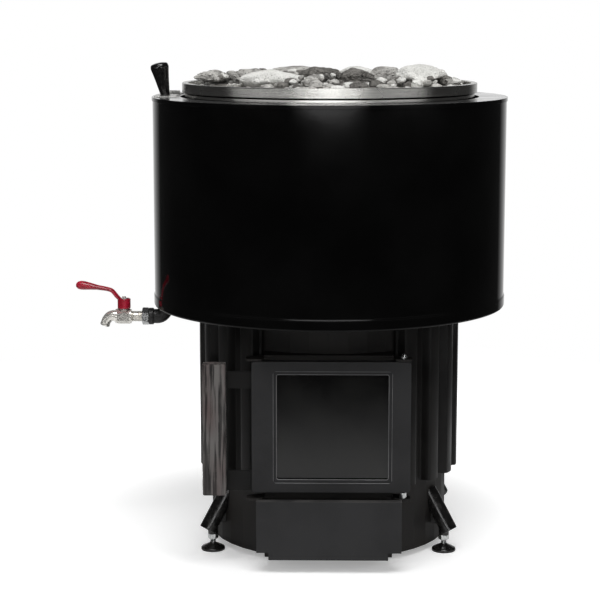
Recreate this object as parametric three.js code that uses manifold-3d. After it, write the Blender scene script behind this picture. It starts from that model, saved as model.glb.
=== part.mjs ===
// Wood-fired sauna stove: a round firebox in a fluted mantle, with an annular water tank and a
// basin of stones on top. Millimetres, +Z up, the front with the fire door faces -Y.
import * as THREE from 'three';
import { mergeVertices } from 'three/addons/utils/BufferGeometryUtils.js';
import Module from 'manifold-3d';

// Driving dimensions: heights are above the floor, radii are from the stove's own axis
const TANK_R = 320;
const TANK_TOP = 815;
const TANK_FLOOR = 438.5;
const TANK_BORE = 274;
const TANK_WALL = 2;
const FLANGE_R = 321.5;
const FLANGE_DROP = 7;
const SHELL_R = 217.5;
const SHELL_WALL = 4;
const SHELL_TOP = 545;
const BASE_Z = 12;
const PLATE_T = 3.7;
const MANTLE_CREST = 239;
const MANTLE_VALLEY = 222.5;
const MANTLE_BOTTOM = 139;
const FLUTE_PITCH = 15;
const FLUTE_COUNT = 20;
const SHEET = 1.5;
const PAN_R = 262;
const RIM_R = 266.5;
const RIM_TOP = 840;
const RIM_HEIGHT = 17;
const FRAME_HALF = 112;
const FRAME_FACE = -232;
const FRAME_TOP = 381;
const HINGE_X = 129.5;
const HINGE_Y = -241;
const DOOR = { left: -133, right: 142, bottom: 141.6, top: 373, front: -248.5, depth: 14 };
const WINDOW = { left: -90, right: 104, bottom: 164, top: 350 };
const HANDLE = { left: -218, right: -177, bottom: 139, top: 370, front: -262, back: -234.6 };
const ASH = { left: -125, right: 127, bottom: 26, top: 131, front: -270, notch: 13, middle: 104 };
const TRAY = { half: 98, front: -267.6, back: 140, bottom: 33, top: 118, wall: 1.6 };
const FIRE_MOUTH = { left: -88, right: 98, bottom: 166, top: 348 };
const ASH_MOUTH = { half: 103, bottom: 30, top: 123 };
const FRAME_BOTTOM = 20;
const LUG = { reach: 143, inner: 88, front: -250, back: -200 };
const SHELF_Z = 140;
const GRATE = { half: 82, depth: 118, height: 13.7, slots: 7, pitch: 20, slot: 10 };
const BAFFLE = { half: 144, y: 146, thick: 4, lip: 128, top: 470 };
const FLUE = { radius: 57.5, wall: 2, z: 372, start: 205, end: 318 };
const LEG_ANGLES = { front_left: -150, front_right: -30, back_right: 30, back_left: 150 };
const LEG = { radius: 15, topR: 217, topZ: 96.5, footR: 253.5, footZ: 38, bossR: 242 };
const TAP_Z = 409;
const TAP_STEM_X = -379;
const ELBOW_X = -302;
const LEVER_TIP = -468;
const LEVER_Z = 466.5;
const LID_R = 298;
const LID = { inner: 277.5, outer: 317, spread: 10.5, sheet: 1.2 };
const FILLER_MOUTH = { inner: 281, outer: 313, spread: 8 };
const GRIP = { neck: 8.6, head: 17.3, length: 59.3, flutes: 8, depth: 0.06, lean: 11 };
const BED_Z = 803;
const GAP = 0.3;
const ROUND = 40;
const TANK_ROUND = 60;
// The lever reaches further out than the tank, so the stove's axis stands off the middle of the whole
const AXIS_X = -(LEVER_TIP + FLANGE_R) / 2;

const wasm = await Module();
wasm.setup();

// Materials
const paint = (color, roughness, metalness) =>
  new THREE.MeshStandardMaterial({ color, roughness, metalness });
const tankEnamel = paint('#121213', 0.15, 0.1);
const stovePaint = paint('#2b2a29', 0.6, 0.3);
const doorPaint = paint('#2f2f30', 0.55, 0.3);
const stainless = paint('#c9c9c7', 0.3, 1);
const zinc = paint('#d2d2d0', 0.3, 1);
const nickel = paint('#d8d6d0', 0.2, 1);
const castIron = paint('#262524', 0.75, 0.5);
const blackIron = paint('#161616', 0.5, 0.5);
const darkGlass = paint('#2a2a2b', 0.05, 0);
const sealRope = paint('#8d8a82', 0.95, 0);
const charredWood = paint('#4d4541', 0.8, 0);
const redGrip = paint('#a5142c', 0.35, 0);
const blackGrip = paint('#101011', 0.25, 0);
const stone = paint('#8b8c8d', 0.9, 0);

// Solids: a closed geometry with merged corners, no empty triangles and its faces turned outwards
function tidy(geometry) {
  const bare = geometry.clone();
  bare.deleteAttribute('normal');
  bare.deleteAttribute('uv');
  const merged = mergeVertices(bare, 1e-3);
  const at = merged.attributes.position;
  const faces = [];
  let volume = 0;
  for (let i = 0; i < merged.index.count; i += 3) {
    const [a, b, c] = [0, 1, 2].map((k) => merged.index.getX(i + k));
    if (a === b || b === c || c === a) continue;
    faces.push([a, b, c]);
    const [p, q, r] = [a, b, c].map((k) => new THREE.Vector3().fromBufferAttribute(at, k));
    volume += p.dot(q.cross(r));
  }
  const turned = volume < 0 ? faces.map(([a, b, c]) => [a, c, b]) : faces;
  const clean = new THREE.BufferGeometry();
  clean.setAttribute('position', new THREE.BufferAttribute(new Float32Array(at.array), 3));
  clean.setIndex(new THREE.BufferAttribute(new Uint32Array(turned.flat()), 1));
  return clean;
}

function toSolid(geometry) {
  const clean = tidy(geometry);
  return new wasm.Manifold(new wasm.Mesh({
    numProp: 3,
    vertProperties: clean.attributes.position.array,
    triVerts: clean.index.array,
  }));
}

function toGeometry(solid) {
  const mesh = solid.getMesh();
  const geometry = new THREE.BufferGeometry();
  geometry.setAttribute('position', new THREE.BufferAttribute(mesh.vertProperties, 3));
  geometry.setIndex(new THREE.BufferAttribute(mesh.triVerts, 1));
  return geometry;
}

const join = (...parts) => toGeometry(parts.map(toSolid).reduce((a, b) => a.add(b)));
const cut = (body, ...tools) =>
  toGeometry(tools.map(toSolid).reduce((a, b) => a.subtract(b), toSolid(body)));

// Basic forms
function box(x0, x1, y0, y1, z0, z1) {
  const form = new THREE.BoxGeometry(x1 - x0, y1 - y0, z1 - z0);
  return form.translate((x0 + x1) / 2, (y0 + y1) / 2, (z0 + z1) / 2);
}

// A closed outline of [radius, height] corners revolved about the Z axis
function turned(profile, segments = ROUND) {
  const points = [...profile, profile[0]].map(([r, z]) => new THREE.Vector2(r, z));
  return tidy(new THREE.LatheGeometry(points, segments).rotateX(Math.PI / 2));
}

const pipe = (outer, inner, z0, z1, segments = ROUND) =>
  turned([[inner, z0], [outer, z0], [outer, z1], [inner, z1]], segments);

// A round bar, or with six sides a hexagon bar, from one point to another
function rod(from, to, radius, sides = 12) {
  const a = new THREE.Vector3(...from);
  const b = new THREE.Vector3(...to);
  const way = b.clone().sub(a);
  const form = new THREE.CylinderGeometry(radius, radius, way.length(), sides);
  const turn = new THREE.Quaternion().setFromUnitVectors(new THREE.Vector3(0, 1, 0), way.normalize());
  form.applyQuaternion(turn);
  return form.translate(...a.add(b).multiplyScalar(0.5).toArray());
}

// A radius across the corners from a size across the flats
const hexRadius = (flats) => flats / 2 / Math.cos(Math.PI / 6);

function roundedRect(left, right, bottom, top, r, Kind = THREE.Shape) {
  const outline = new Kind();
  outline.moveTo(left + r, bottom);
  outline.lineTo(right - r, bottom);
  outline.absarc(right - r, bottom + r, r, -Math.PI / 2, 0);
  outline.lineTo(right, top - r);
  outline.absarc(right - r, top - r, r, 0, Math.PI / 2);
  outline.lineTo(left + r, top);
  outline.absarc(left + r, top - r, r, Math.PI / 2, Math.PI);
  outline.lineTo(left, bottom + r);
  outline.absarc(left + r, bottom + r, r, Math.PI, Math.PI * 1.5);
  return outline;
}

const polygon = (points) => new THREE.Shape(points.map(([x, y]) => new THREE.Vector2(x, y)));

// A flat outline seen from above, raised from z0 to z1
function raised(shape, z0, z1, curveSegments = 4) {
  const form = new THREE.ExtrudeGeometry(shape, { depth: z1 - z0, bevelEnabled: false, curveSegments });
  return tidy(form.translate(0, 0, z0));
}

// A flat outline of X and Z seen from the front, running back from y0 to y1
function upright(shape, y0, y1, curveSegments = 2) {
  const form = new THREE.ExtrudeGeometry(shape, { depth: y1 - y0, bevelEnabled: false, curveSegments });
  return tidy(form.rotateX(Math.PI / 2).translate(0, y1, 0));
}

// A ring sector between two radii, spread to both sides of a middle angle in degrees
function sector(inner, outer, middle, spread) {
  const from = THREE.MathUtils.degToRad(middle - spread);
  const to = THREE.MathUtils.degToRad(middle + spread);
  const outline = new THREE.Shape();
  outline.absarc(0, 0, outer, from, to, false);
  outline.absarc(0, 0, inner, to, from, true);
  return outline;
}

// A sheet of one thickness that follows a line of points, each corner offset along its mitre
function sheetAlong(points, thickness) {
  const line = points.map(([x, y]) => new THREE.Vector2(x, y));
  const inner = line.map((p, i) => {
    const before = line[Math.max(i - 1, 0)];
    const after = line[Math.min(i + 1, line.length - 1)];
    const normals = [[before, p], [p, after]]
      .filter(([a, b]) => a !== b)
      .map(([a, b]) => new THREE.Vector2(a.y - b.y, b.x - a.x).normalize());
    const mitre = normals[0].clone().add(normals[normals.length - 1]).normalize();
    return p.clone().addScaledVector(mitre, thickness / mitre.dot(normals[0]));
  });
  return new THREE.Shape([...line, ...inner.reverse()]);
}

// A tube of one section along a curve
function swept(points, radius, steps, sides = 10) {
  const path = new THREE.CatmullRomCurve3(points.map((p) => new THREE.Vector3(...p)), false, 'centripetal');
  const section = new THREE.Shape().absarc(0, 0, radius, 0, Math.PI * 2);
  const options = { extrudePath: path, steps, curveSegments: sides / 2, bevelEnabled: false };
  return tidy(new THREE.ExtrudeGeometry(section, options));
}

const stove = new THREE.Group();
stove.position.x = AXIS_X;

function add(name, geometry, material) {
  const mesh = new THREE.Mesh(tidy(geometry), material);
  mesh.name = name;
  stove.add(mesh);
  return mesh;
}

// Firebox: base plate, round shell with the door and ash openings, crown plate
const disc = (radius, z0, z1) => turned([[0, z0], [radius, z0], [radius, z1], [0, z1]]);
const baseTop = BASE_Z + PLATE_T;
add('base_plate', disc(SHELL_R, BASE_Z, baseTop), stovePaint);
const shellInner = SHELL_R - SHELL_WALL;
const flueHole = rod([0, 150, FLUE.z], [0, 300, FLUE.z], FLUE.radius + 0.8, 32);
add('firebox_shell', cut(
  pipe(SHELL_R, shellInner, baseTop + GAP, SHELL_TOP),
  box(FIRE_MOUTH.left - 4, FIRE_MOUTH.right + 4, -250, -100, FIRE_MOUTH.bottom - 4, FIRE_MOUTH.top + 4),
  box(-ASH_MOUTH.half - 3, ASH_MOUTH.half + 3, -250, -100, ASH_MOUTH.bottom - 4, ASH_MOUTH.top + 3),
  flueHole,
), stovePaint);
const crownZ = SHELL_TOP + GAP;
const crownTop = crownZ + 4;
add('crown_plate', disc(SHELL_R + 4.5, crownZ, crownTop), stovePaint);

// Front frame: a folded neck on the shell, its face plate and the lugs that carry the door pins
const shellClear = rod([0, 0, -10], [0, 0, 600], SHELL_R + 0.8, ROUND);
const lugTop = DOOR.top + 0.8;
const lugBottom = ASH.top - 5.3;
const lugShape = (side) => polygon([
  [side * LUG.inner, LUG.back], [side * LUG.reach, -226], [side * LUG.reach, LUG.front + 3],
  [side * (LUG.reach - 5), LUG.front], [side * 121, LUG.front], [side * 116, LUG.front + 3],
  [side * FRAME_HALF, -236], [side * LUG.inner, FRAME_FACE]]);
const frameLugs = [-1, 1].flatMap((side) => [
  raised(lugShape(side), lugTop, lugTop + 4),
  raised(lugShape(side), lugBottom, lugBottom + 5),
]);
const pinHoles = rod([HINGE_X, HINGE_Y, 100], [HINGE_X, HINGE_Y, 400], 4.5, 16);
const frameBack = FRAME_FACE + 4;
const neckHalf = FRAME_HALF - 3;
add('front_frame', cut(
  join(box(-FRAME_HALF, FRAME_HALF, FRAME_FACE, -150, FRAME_BOTTOM, FRAME_TOP), ...frameLugs),
  box(-neckHalf, neckHalf, frameBack, -140, FRAME_BOTTOM + 3, SHELF_Z - 1),
  box(-neckHalf, neckHalf, frameBack, -140, SHELF_Z + 3, FRAME_TOP - 3),
  box(FIRE_MOUTH.left, FIRE_MOUTH.right, -240, -220, FIRE_MOUTH.bottom, FIRE_MOUTH.top),
  box(-ASH_MOUTH.half, ASH_MOUTH.half, -240, -220, ASH_MOUTH.bottom, ASH_MOUTH.top),
  shellClear,
  pinHoles,
), stovePaint);

// Fluted convection mantle: hat-shaped channels bent in one sheet, open at the front round the frame
const flutes = [];
const fluteSection = [[-5.9, 0], [-4.7, 0.7], [-3.2, 1], [3.2, 1], [4.7, 0.7], [5.9, 0]];
for (let k = 0; k < FLUTE_COUNT; k += 1) {
  const middle = -90 + (360 - FLUTE_PITCH * (FLUTE_COUNT - 1)) / 2 + FLUTE_PITCH * k;
  for (const [turn, rise] of fluteSection) {
    const angle = THREE.MathUtils.degToRad(middle + turn);
    const radius = MANTLE_VALLEY + (MANTLE_CREST - MANTLE_VALLEY) * rise;
    flutes.push([radius * Math.cos(angle), radius * Math.sin(angle)]);
  }
}
const mantleTop = TANK_FLOOR - GAP;
add('mantle', cut(
  raised(sheetAlong(flutes, SHEET), MANTLE_BOTTOM, mantleTop),
  rod([0, 190, FLUE.z], [0, 300, FLUE.z], FLUE.radius + 4, 32),
), stovePaint);

// Fire grate on its shelf, the baffle before the flue, and the flue spigot
const shelfTop = SHELF_Z + 4;
add('grate_shelf', cut(
  disc(shellInner - 0.8, SHELF_Z, shelfTop),
  box(-GRATE.half + 12, GRATE.half - 12, -GRATE.depth + 13, GRATE.depth - 13, SHELF_Z - 5, shelfTop + 5),
), stovePaint);
const grateFoot = shelfTop + GAP;
const grateShape = roundedRect(-GRATE.half, GRATE.half, -GRATE.depth, GRATE.depth, 8);
for (let k = 0; k < GRATE.slots; k += 1) {
  const left = GRATE.pitch * (k - (GRATE.slots - 1) / 2) - GRATE.slot / 2;
  const slotEnd = GRATE.depth - 20;
  grateShape.holes.push(roundedRect(left, left + GRATE.slot, -slotEnd, slotEnd, 4.9, THREE.Path));
}
add('fire_grate', raised(grateShape, grateFoot, grateFoot + GRATE.height, 1), castIron);
add('smoke_baffle', join(
  box(-BAFFLE.half, BAFFLE.half, BAFFLE.y, BAFFLE.y + BAFFLE.thick, grateFoot, BAFFLE.top),
  box(-BAFFLE.half, BAFFLE.half, BAFFLE.lip, BAFFLE.y + 1, BAFFLE.top - BAFFLE.thick, BAFFLE.top),
), castIron);
const spigot = pipe(FLUE.radius, FLUE.radius - FLUE.wall, FLUE.start, FLUE.end, 32);
add('flue_spigot', spigot.rotateX(-Math.PI / 2).translate(0, 0, FLUE.z), stovePaint);

// Water tank: an annulus of outer wall, floor, inner wall and a top plate with a down-turned flange
const seam = 1.4;
add('tank_shell', turned([
  [TANK_R - TANK_WALL, TANK_FLOOR - 0.5], [TANK_R + 0.2, TANK_FLOOR - 0.5],
  [TANK_R + seam, TANK_FLOOR + 2], [TANK_R + seam, TANK_FLOOR + 9.5], [TANK_R, TANK_FLOOR + 11.7],
  [TANK_R, TANK_TOP - 2.5], [TANK_R - TANK_WALL, TANK_TOP - 2.5]], TANK_ROUND), tankEnamel);
const floorTop = TANK_FLOOR + 3;
const plateUnder = TANK_TOP - 2;
const outletHole = rod([ELBOW_X, 0, TANK_FLOOR - 10], [ELBOW_X, 0, TANK_FLOOR + 10], 9.5);
add('tank_floor', cut(
  pipe(TANK_R - TANK_WALL - 0.5, MANTLE_CREST - 8, TANK_FLOOR, floorTop),
  outletHole,
), tankEnamel);
add('tank_inner_wall', pipe(TANK_BORE, TANK_BORE - TANK_WALL, floorTop + GAP, plateUnder - GAP), tankEnamel);
const mouthShape = sector(FILLER_MOUTH.inner, FILLER_MOUTH.outer, 180, FILLER_MOUTH.spread);
const fillerMouth = raised(mouthShape, plateUnder - 5, TANK_TOP + 5);
const plateInner = TANK_BORE - 4;
add('tank_top_plate', cut(turned([
  [plateInner, plateUnder], [TANK_R + 0.4, plateUnder], [TANK_R + 0.4, TANK_TOP - FLANGE_DROP],
  [FLANGE_R, TANK_TOP - FLANGE_DROP], [FLANGE_R, TANK_TOP - 1.6], [FLANGE_R - 1.6, TANK_TOP],
  [plateInner, TANK_TOP]], TANK_ROUND), fillerMouth), tankEnamel);

// Filler lid: a sector plate with a locating rim below, tipping up on a small hinge at its rear edge
const hingeAngle = 167.8;
const hingeZ = TANK_TOP + 3.7;
const lidZ = TANK_TOP + GAP;
const lidTop = lidZ + LID.sheet;
const along = (r, z) => {
  const angle = THREE.MathUtils.degToRad(hingeAngle);
  return [r * Math.cos(angle), r * Math.sin(angle), z];
};
const knuckle = (r0, r1, radius) => rod(along(r0, hingeZ), along(r1, hingeZ), radius, 10);
const lidPinHole = knuckle(270, 330, 1.9);
const lidRimShape = (inset) => sector(
  FILLER_MOUTH.inner + inset, FILLER_MOUTH.outer - inset, 180, FILLER_MOUTH.spread - 0.3 - 0.2 * inset);
const lidRim = cut(
  raised(lidRimShape(2), lidZ - 6, lidZ + 1),
  raised(lidRimShape(4), lidZ - 7, lidZ));
const lidKnuckle = { from: 294.6, to: 301.4 };
const leafKnuckle = { from: 283, to: 313 };
const knuckleR = 3.2;
add('filler_lid', cut(
  join(
    raised(sector(LID.inner, LID.outer, 180, LID.spread), lidZ, lidTop),
    lidRim,
    raised(sector(lidKnuckle.from, lidKnuckle.to, 169.3, 1.5), lidZ, lidTop),
    knuckle(lidKnuckle.from, lidKnuckle.to, knuckleR),
  ),
  lidPinHole,
  rod([-LID_R, 0, lidZ - 10], [-LID_R, 0, lidTop + 10], 4.4),
), stainless);
add('lid_hinge_leaf', cut(
  join(
    raised(sector(leafKnuckle.from, leafKnuckle.to, 164.8, 3.1), lidZ, lidZ + 1.5),
    knuckle(leafKnuckle.from, leafKnuckle.to, knuckleR),
  ),
  knuckle(lidKnuckle.from - 0.6, lidKnuckle.to + 0.6, knuckleR + 2.3),
  lidPinHole,
), stainless);
add('lid_hinge_pin', knuckle(leafKnuckle.from - 1, leafKnuckle.to + 1, 1.5), zinc);

// Fluted grip of the filler lid: it swells from a narrow neck to a domed head, leans outwards and is
// cut level where it stands on the lid
const gripProfile = [
  [0, -6], [GRIP.neck, -6], [GRIP.neck, 2], [10, 10], [12.6, 27], [15.6, 43], [GRIP.head, 50.5],
  [16.3, 54.8], [11.8, 57.8], [0, GRIP.length]];
const gripForm = new THREE.LatheGeometry(gripProfile.map(([r, z]) => new THREE.Vector2(r, z)), 24);
gripForm.rotateX(Math.PI / 2);
const gripAt = gripForm.attributes.position;
for (let i = 0; i < gripAt.count; i += 1) {
  const angle = Math.atan2(gripAt.getY(i), gripAt.getX(i));
  const height = gripAt.getZ(i);
  const rising = THREE.MathUtils.clamp(height / 10, 0, 1);
  const falling = THREE.MathUtils.clamp((GRIP.length - 1.5 - height) / 5, 0, 1);
  const flute = (1 + Math.cos(GRIP.flutes * angle)) / 2;
  const scale = 1 - GRIP.depth * rising * falling * flute;
  gripAt.setXY(i, gripAt.getX(i) * scale, gripAt.getY(i) * scale);
}
const gripFoot = lidTop + GAP;
gripForm.rotateY(THREE.MathUtils.degToRad(-GRIP.lean)).translate(-LID_R, 0, gripFoot);
add('lid_grip', join(
  cut(gripForm, box(-LID_R - 50, -LID_R + 50, -50, 50, gripFoot - 50, gripFoot)),
  rod([-LID_R, 0, lidZ - 5], [-LID_R, 0, gripFoot + 2], 4, 10),
), blackGrip);

// Stone basin of stainless sheet inside the tank's bore, its brushed rim, and the heap of stones
const panFloor = crownTop + GAP;
const panTop = RIM_TOP - 2.3;
add('stone_pan', turned([
  [0, panFloor], [PAN_R, panFloor], [PAN_R, panTop], [PAN_R - 3, panTop], [PAN_R - 3, panFloor + 3],
  [0, panFloor + 3]]), stainless);
add('stone_rim', turned([
  [PAN_R + 0.4, RIM_TOP - RIM_HEIGHT], [RIM_R, RIM_TOP - RIM_HEIGHT], [RIM_R, RIM_TOP - 1.4],
  [RIM_R - 1.4, RIM_TOP], [PAN_R - 6, RIM_TOP], [PAN_R - 6, RIM_TOP - 9],
  [PAN_R - 3.4, RIM_TOP - 9], [PAN_R - 3.4, RIM_TOP - 2], [PAN_R + 0.4, RIM_TOP - 2]]), stainless);

// A rough stone: a ball of triangles with its radius swelling and shrinking smoothly with direction
function roughStone([x, y, z], [a, b, c], seed, detail) {
  const form = new THREE.IcosahedronGeometry(1, detail);
  const at = form.attributes.position;
  for (let i = 0; i < at.count; i += 1) {
    const p = new THREE.Vector3().fromBufferAttribute(at, i).normalize();
    const swell = 0.1 * Math.sin(2.3 * p.x + seed) + 0.09 * Math.sin(2.9 * p.y + 1.7 * seed)
      + 0.07 * Math.sin(3.7 * p.z + 2.6 * seed) + 0.05 * Math.sin(5.1 * (p.x + p.y) + seed);
    p.multiplyScalar(1 + swell);
    at.setXYZ(i, p.x * a, p.y * b, p.z * c);
  }
  return tidy(form.rotateZ(seed * 1.3).translate(x, y, z));
}

// The bed: a disc of fill whose top is the envelope of domed stones that meet in creases. The stones lie
// in rings of [ring radius, count]
const bedRings = [[0, 1], [100, 6], [200, 12]];
const bedStones = bedRings.flatMap(([radius, count], ring) => Array.from({ length: count }, (_, k) => {
  const angle = (k + ring * 0.37) * Math.PI * 2 / count;
  const lift = 5 * Math.sin(7 * ring + 3.1 * k);
  return new THREE.Vector3(radius * Math.cos(angle), radius * Math.sin(angle), BED_Z + lift);
}));
const capReach = 70;
const capRise = 34;
const bedHeight = (x, y) => Math.max(...bedStones.map((middle) => {
  const share = Math.hypot(x - middle.x, y - middle.y) / capReach;
  return middle.z + capRise * Math.sqrt(Math.max(1 - share * share, 0));
}));
const bedFloor = panFloor + 3 + GAP;
const bedReach = 254;
const bedSteps = [1, 0.92, 0.82, 0.72, 0.62, 0.52, 0.42, 0.31, 0.2, 0.1, 0];
const bedProfile = bedSteps.map((share) => [bedReach * share, BED_Z]);
const bed = turned([[0, bedFloor], [bedReach, bedFloor], ...bedProfile], 36);
const bedAt = bed.attributes.position;
for (let i = 0; i < bedAt.count; i += 1) {
  if (bedAt.getZ(i) > bedFloor + 1) bedAt.setZ(i, bedHeight(bedAt.getX(i), bedAt.getY(i)));
}
add('stone_bed', bed, stone);

// Top stones as [x, y, half length, half width, half height], each lowered until it rests on the heap
const topStones = [
  [-206, -50, 40, 38, 13], [-150, 20, 40, 38, 17], [-100, -100, 54, 46, 22], [-22, -30, 40, 38, 16],
  [46, -105, 44, 42, 19], [108, -22, 40, 38, 16], [160, -100, 42, 42, 20], [-66, 104, 50, 44, 16],
  [58, 104, 50, 44, 16]];
let heap = toSolid(bed);
topStones.forEach(([x, y, a, b, c], k) => {
  const form = roughStone([x, y, BED_Z], [a, b, c], 11 + 3 * k, 2);
  let touching = 0;
  let clear = 150;
  while (clear - touching > 0.2) {
    const middle = (clear + touching) / 2;
    const meets = toSolid(form.clone().translate(0, 0, middle)).intersect(heap).volume() > 0;
    if (meets) touching = middle;
    else clear = middle;
  }
  const resting = form.clone().translate(0, 0, clear + GAP);
  heap = heap.add(toSolid(resting));
  add(`top_stone_${k + 1}`, resting, stone);
});

// Fire door: a leaf with a stepped window, glass on a gasket held by a frame, and a seal on the frame
const doorBack = DOOR.front + DOOR.depth;
const windowStep = 6;
const windowOutline = (outer, radius, Kind) => roundedRect(WINDOW.left - outer, WINDOW.right + outer,
  WINDOW.bottom - outer, WINDOW.top + outer, radius, Kind);
add('door_leaf', cut(
  upright(roundedRect(DOOR.left, DOOR.right, DOOR.bottom, DOOR.top, 5), DOOR.front, doorBack),
  upright(windowOutline(0, 4), DOOR.front - 5, doorBack + 5),
  upright(windowOutline(windowStep, 6), DOOR.front - 5, DOOR.front + 2.5),
  box(DOOR.left + 11, DOOR.right - 26, DOOR.front + 6, doorBack + 5, DOOR.bottom + 10, DOOR.top - 10),
  rod([HINGE_X, HINGE_Y, DOOR.top - 24], [HINGE_X, HINGE_Y, DOOR.top + 10], 4.5, 16),
  rod([HINGE_X, HINGE_Y, DOOR.bottom - 10], [HINGE_X, HINGE_Y, DOOR.bottom + 20], 4.5, 16),
), doorPaint);
const windowFrame = (outer, inner, y0, y1) => {
  const shape = windowOutline(outer, 4);
  shape.holes.push(windowOutline(inner, 2, THREE.Path));
  return upright(shape, y0, y1, 1);
};
const glassFront = DOOR.front + 8;
const glassBack = glassFront + 4;
add('glass_gasket', windowFrame(8, 1, DOOR.front + 6 + GAP, glassFront - GAP), sealRope);
add('door_glass', upright(windowOutline(8, 4), glassFront, glassBack), darkGlass);
add('glass_retainer', windowFrame(10, -4, glassBack + GAP, doorBack - GAP), stovePaint);
const sealOutline = (outer, Kind) => roundedRect(FIRE_MOUTH.left - outer, FIRE_MOUTH.right + outer,
  FIRE_MOUTH.bottom - outer, FIRE_MOUTH.top + outer, 5, Kind);
const sealShape = sealOutline(11);
sealShape.holes.push(sealOutline(3, THREE.Path));
add('door_seal', upright(sealShape, doorBack + GAP, FRAME_FACE - GAP, 1), sealRope);

// Hinge pins: the upper one drops in from above, the lower one carries the door on a collar
const pinAt = (profile) => turned(profile, 12).translate(HINGE_X, HINGE_Y, 0);
const pinSeat = lugTop + 4 + GAP;
add('hinge_pin_upper', pinAt([
  [0, DOOR.top - 20], [4, DOOR.top - 20], [4, pinSeat], [5.6, pinSeat], [5.6, pinSeat + 3],
  [2.4, pinSeat + 8.6], [0, pinSeat + 8.6]]), zinc);
const collar = lugBottom + 5 + GAP;
add('hinge_pin_lower', pinAt([
  [0, lugBottom], [4, lugBottom], [4, collar], [6.2, collar], [6.2, DOOR.bottom - 0.4],
  [4, DOOR.bottom - 0.4], [4, DOOR.bottom + 16], [0, DOOR.bottom + 16]]), zinc);

// Handle: a sawn wooden plank on two flat brackets that reach past the door's free edge
const bracketFront = doorBack + GAP;
const bracketEnd = HANDLE.left + 11;
const bracket = (bottom, top) =>
  upright(roundedRect(bracketEnd, DOOR.left + 18, bottom, top, 3), bracketFront, bracketFront + 4);
add('handle_bracket_upper', bracket(323, 353), blackIron);
add('handle_bracket_lower', bracket(DOOR.bottom, 177), blackIron);
const plankSection = polygon([
  [HANDLE.left + 3, HANDLE.front], [HANDLE.right - 3, HANDLE.front], [HANDLE.right, HANDLE.front + 3],
  [HANDLE.right, HANDLE.back - 2], [HANDLE.right - 2, HANDLE.back], [HANDLE.left + 2, HANDLE.back],
  [HANDLE.left, HANDLE.back - 2], [HANDLE.left, HANDLE.front + 3]]);
add('handle_plank', raised(plankSection, HANDLE.bottom, HANDLE.top), charredWood);

// Door catch: a sprung tongue on the leaf bears beside a keeper on the front frame
const catchZ = 254;
add('catch_tongue', box(-132, -123, bracketFront, -212, catchZ - 8, catchZ + 8), zinc);
const keeperBack = -FRAME_HALF - GAP;
const keeperSection = polygon([
  [keeperBack, -226], [-118, -222], [-121.5, -217], [-121.5, -213], [-118, -208], [keeperBack, -204]]);
add('catch_keeper', raised(keeperSection, catchZ - 10, catchZ + 10), zinc);

// Ash box: a folded tray behind a front plate with a bright lip, running on two angle rails
const frontOutline = polygon([
  [-ASH.middle, ASH.bottom], [ASH.middle, ASH.bottom], [ASH.middle, ASH.bottom + ASH.notch],
  [ASH.right, ASH.bottom + ASH.notch], [ASH.right, ASH.top], [ASH.left, ASH.top],
  [ASH.left, ASH.bottom + ASH.notch], [-ASH.middle, ASH.bottom + ASH.notch]]);
add('ash_front', join(
  upright(frontOutline, ASH.front, ASH.front + 2),
  box(ASH.left, ASH.right, ASH.front, ASH.front + 13, ASH.top - 2, ASH.top),
  box(ASH.left, ASH.left + 2, ASH.front, ASH.front + 13, ASH.bottom + ASH.notch, ASH.top),
  box(ASH.right - 2, ASH.right, ASH.front, ASH.front + 13, ASH.bottom + ASH.notch, ASH.top),
), doorPaint);
add('ash_tray', cut(
  box(-TRAY.half, TRAY.half, TRAY.front, TRAY.back, TRAY.bottom, TRAY.top),
  box(-TRAY.half + TRAY.wall, TRAY.half - TRAY.wall, TRAY.front + TRAY.wall, TRAY.back - TRAY.wall,
    TRAY.bottom + TRAY.wall, TRAY.top + 5),
), zinc);
const railTop = TRAY.bottom - GAP;
const railFoot = baseTop + GAP;
const [railInner, railOuter, railSheet, railGuide] = [84, 102, 3, 8];
for (const [side, name] of [[-1, 'ash_runner_left'], [1, 'ash_runner_right']]) {
  const section = polygon([
    [side * railInner, railFoot], [side * (railInner + railSheet), railFoot],
    [side * (railInner + railSheet), railTop - railSheet], [side * railOuter, railTop - railSheet],
    [side * railOuter, railTop + railGuide], [side * (railOuter - railSheet), railTop + railGuide],
    [side * (railOuter - railSheet), railTop], [side * railInner, railTop]]);
  add(name, upright(section, -178, 138), zinc);
}

// Legs: inclined tubes on the shell, each with a gusset and a boss that takes a levelling foot
const legLean = new THREE.Vector2(LEG.footR - LEG.topR, LEG.footZ - LEG.topZ).normalize();
const legTop = [LEG.topR - 25 * legLean.x, 0, LEG.topZ - 25 * legLean.y];
const bossBottom = 29.5;
const gusset = polygon([[205, 92], [205, 48], [246, 48], [236, 74]]);
const footDisc = 21.75;
for (const [place, angle] of Object.entries(LEG_ANGLES)) {
  const turn = THREE.MathUtils.degToRad(angle);
  const leg = cut(
    join(
      rod(legTop, [LEG.footR, 0, LEG.footZ], LEG.radius, 14),
      upright(gusset, -2.5, 2.5),
      rod([LEG.bossR, 0, bossBottom], [LEG.bossR, 0, 66], 9.5, 10),
    ),
    rod([LEG.bossR, 0, bossBottom - 5], [LEG.bossR, 0, 61], 5.6, 10),
    shellClear,
  );
  add(`leg_${place}`, leg.rotateZ(turn), blackIron);
  const foot = join(
    turned([[0, 0], [footDisc, 0], [footDisc, 4], [5, 13], [5, 58], [0, 58]], 12),
    rod([0, 0, 21], [0, 0, bossBottom - GAP], hexRadius(17), 6),
  );
  add(`foot_${place}`, foot.translate(LEG.bossR, 0, 0).rotateZ(turn), zinc);
}

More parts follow.
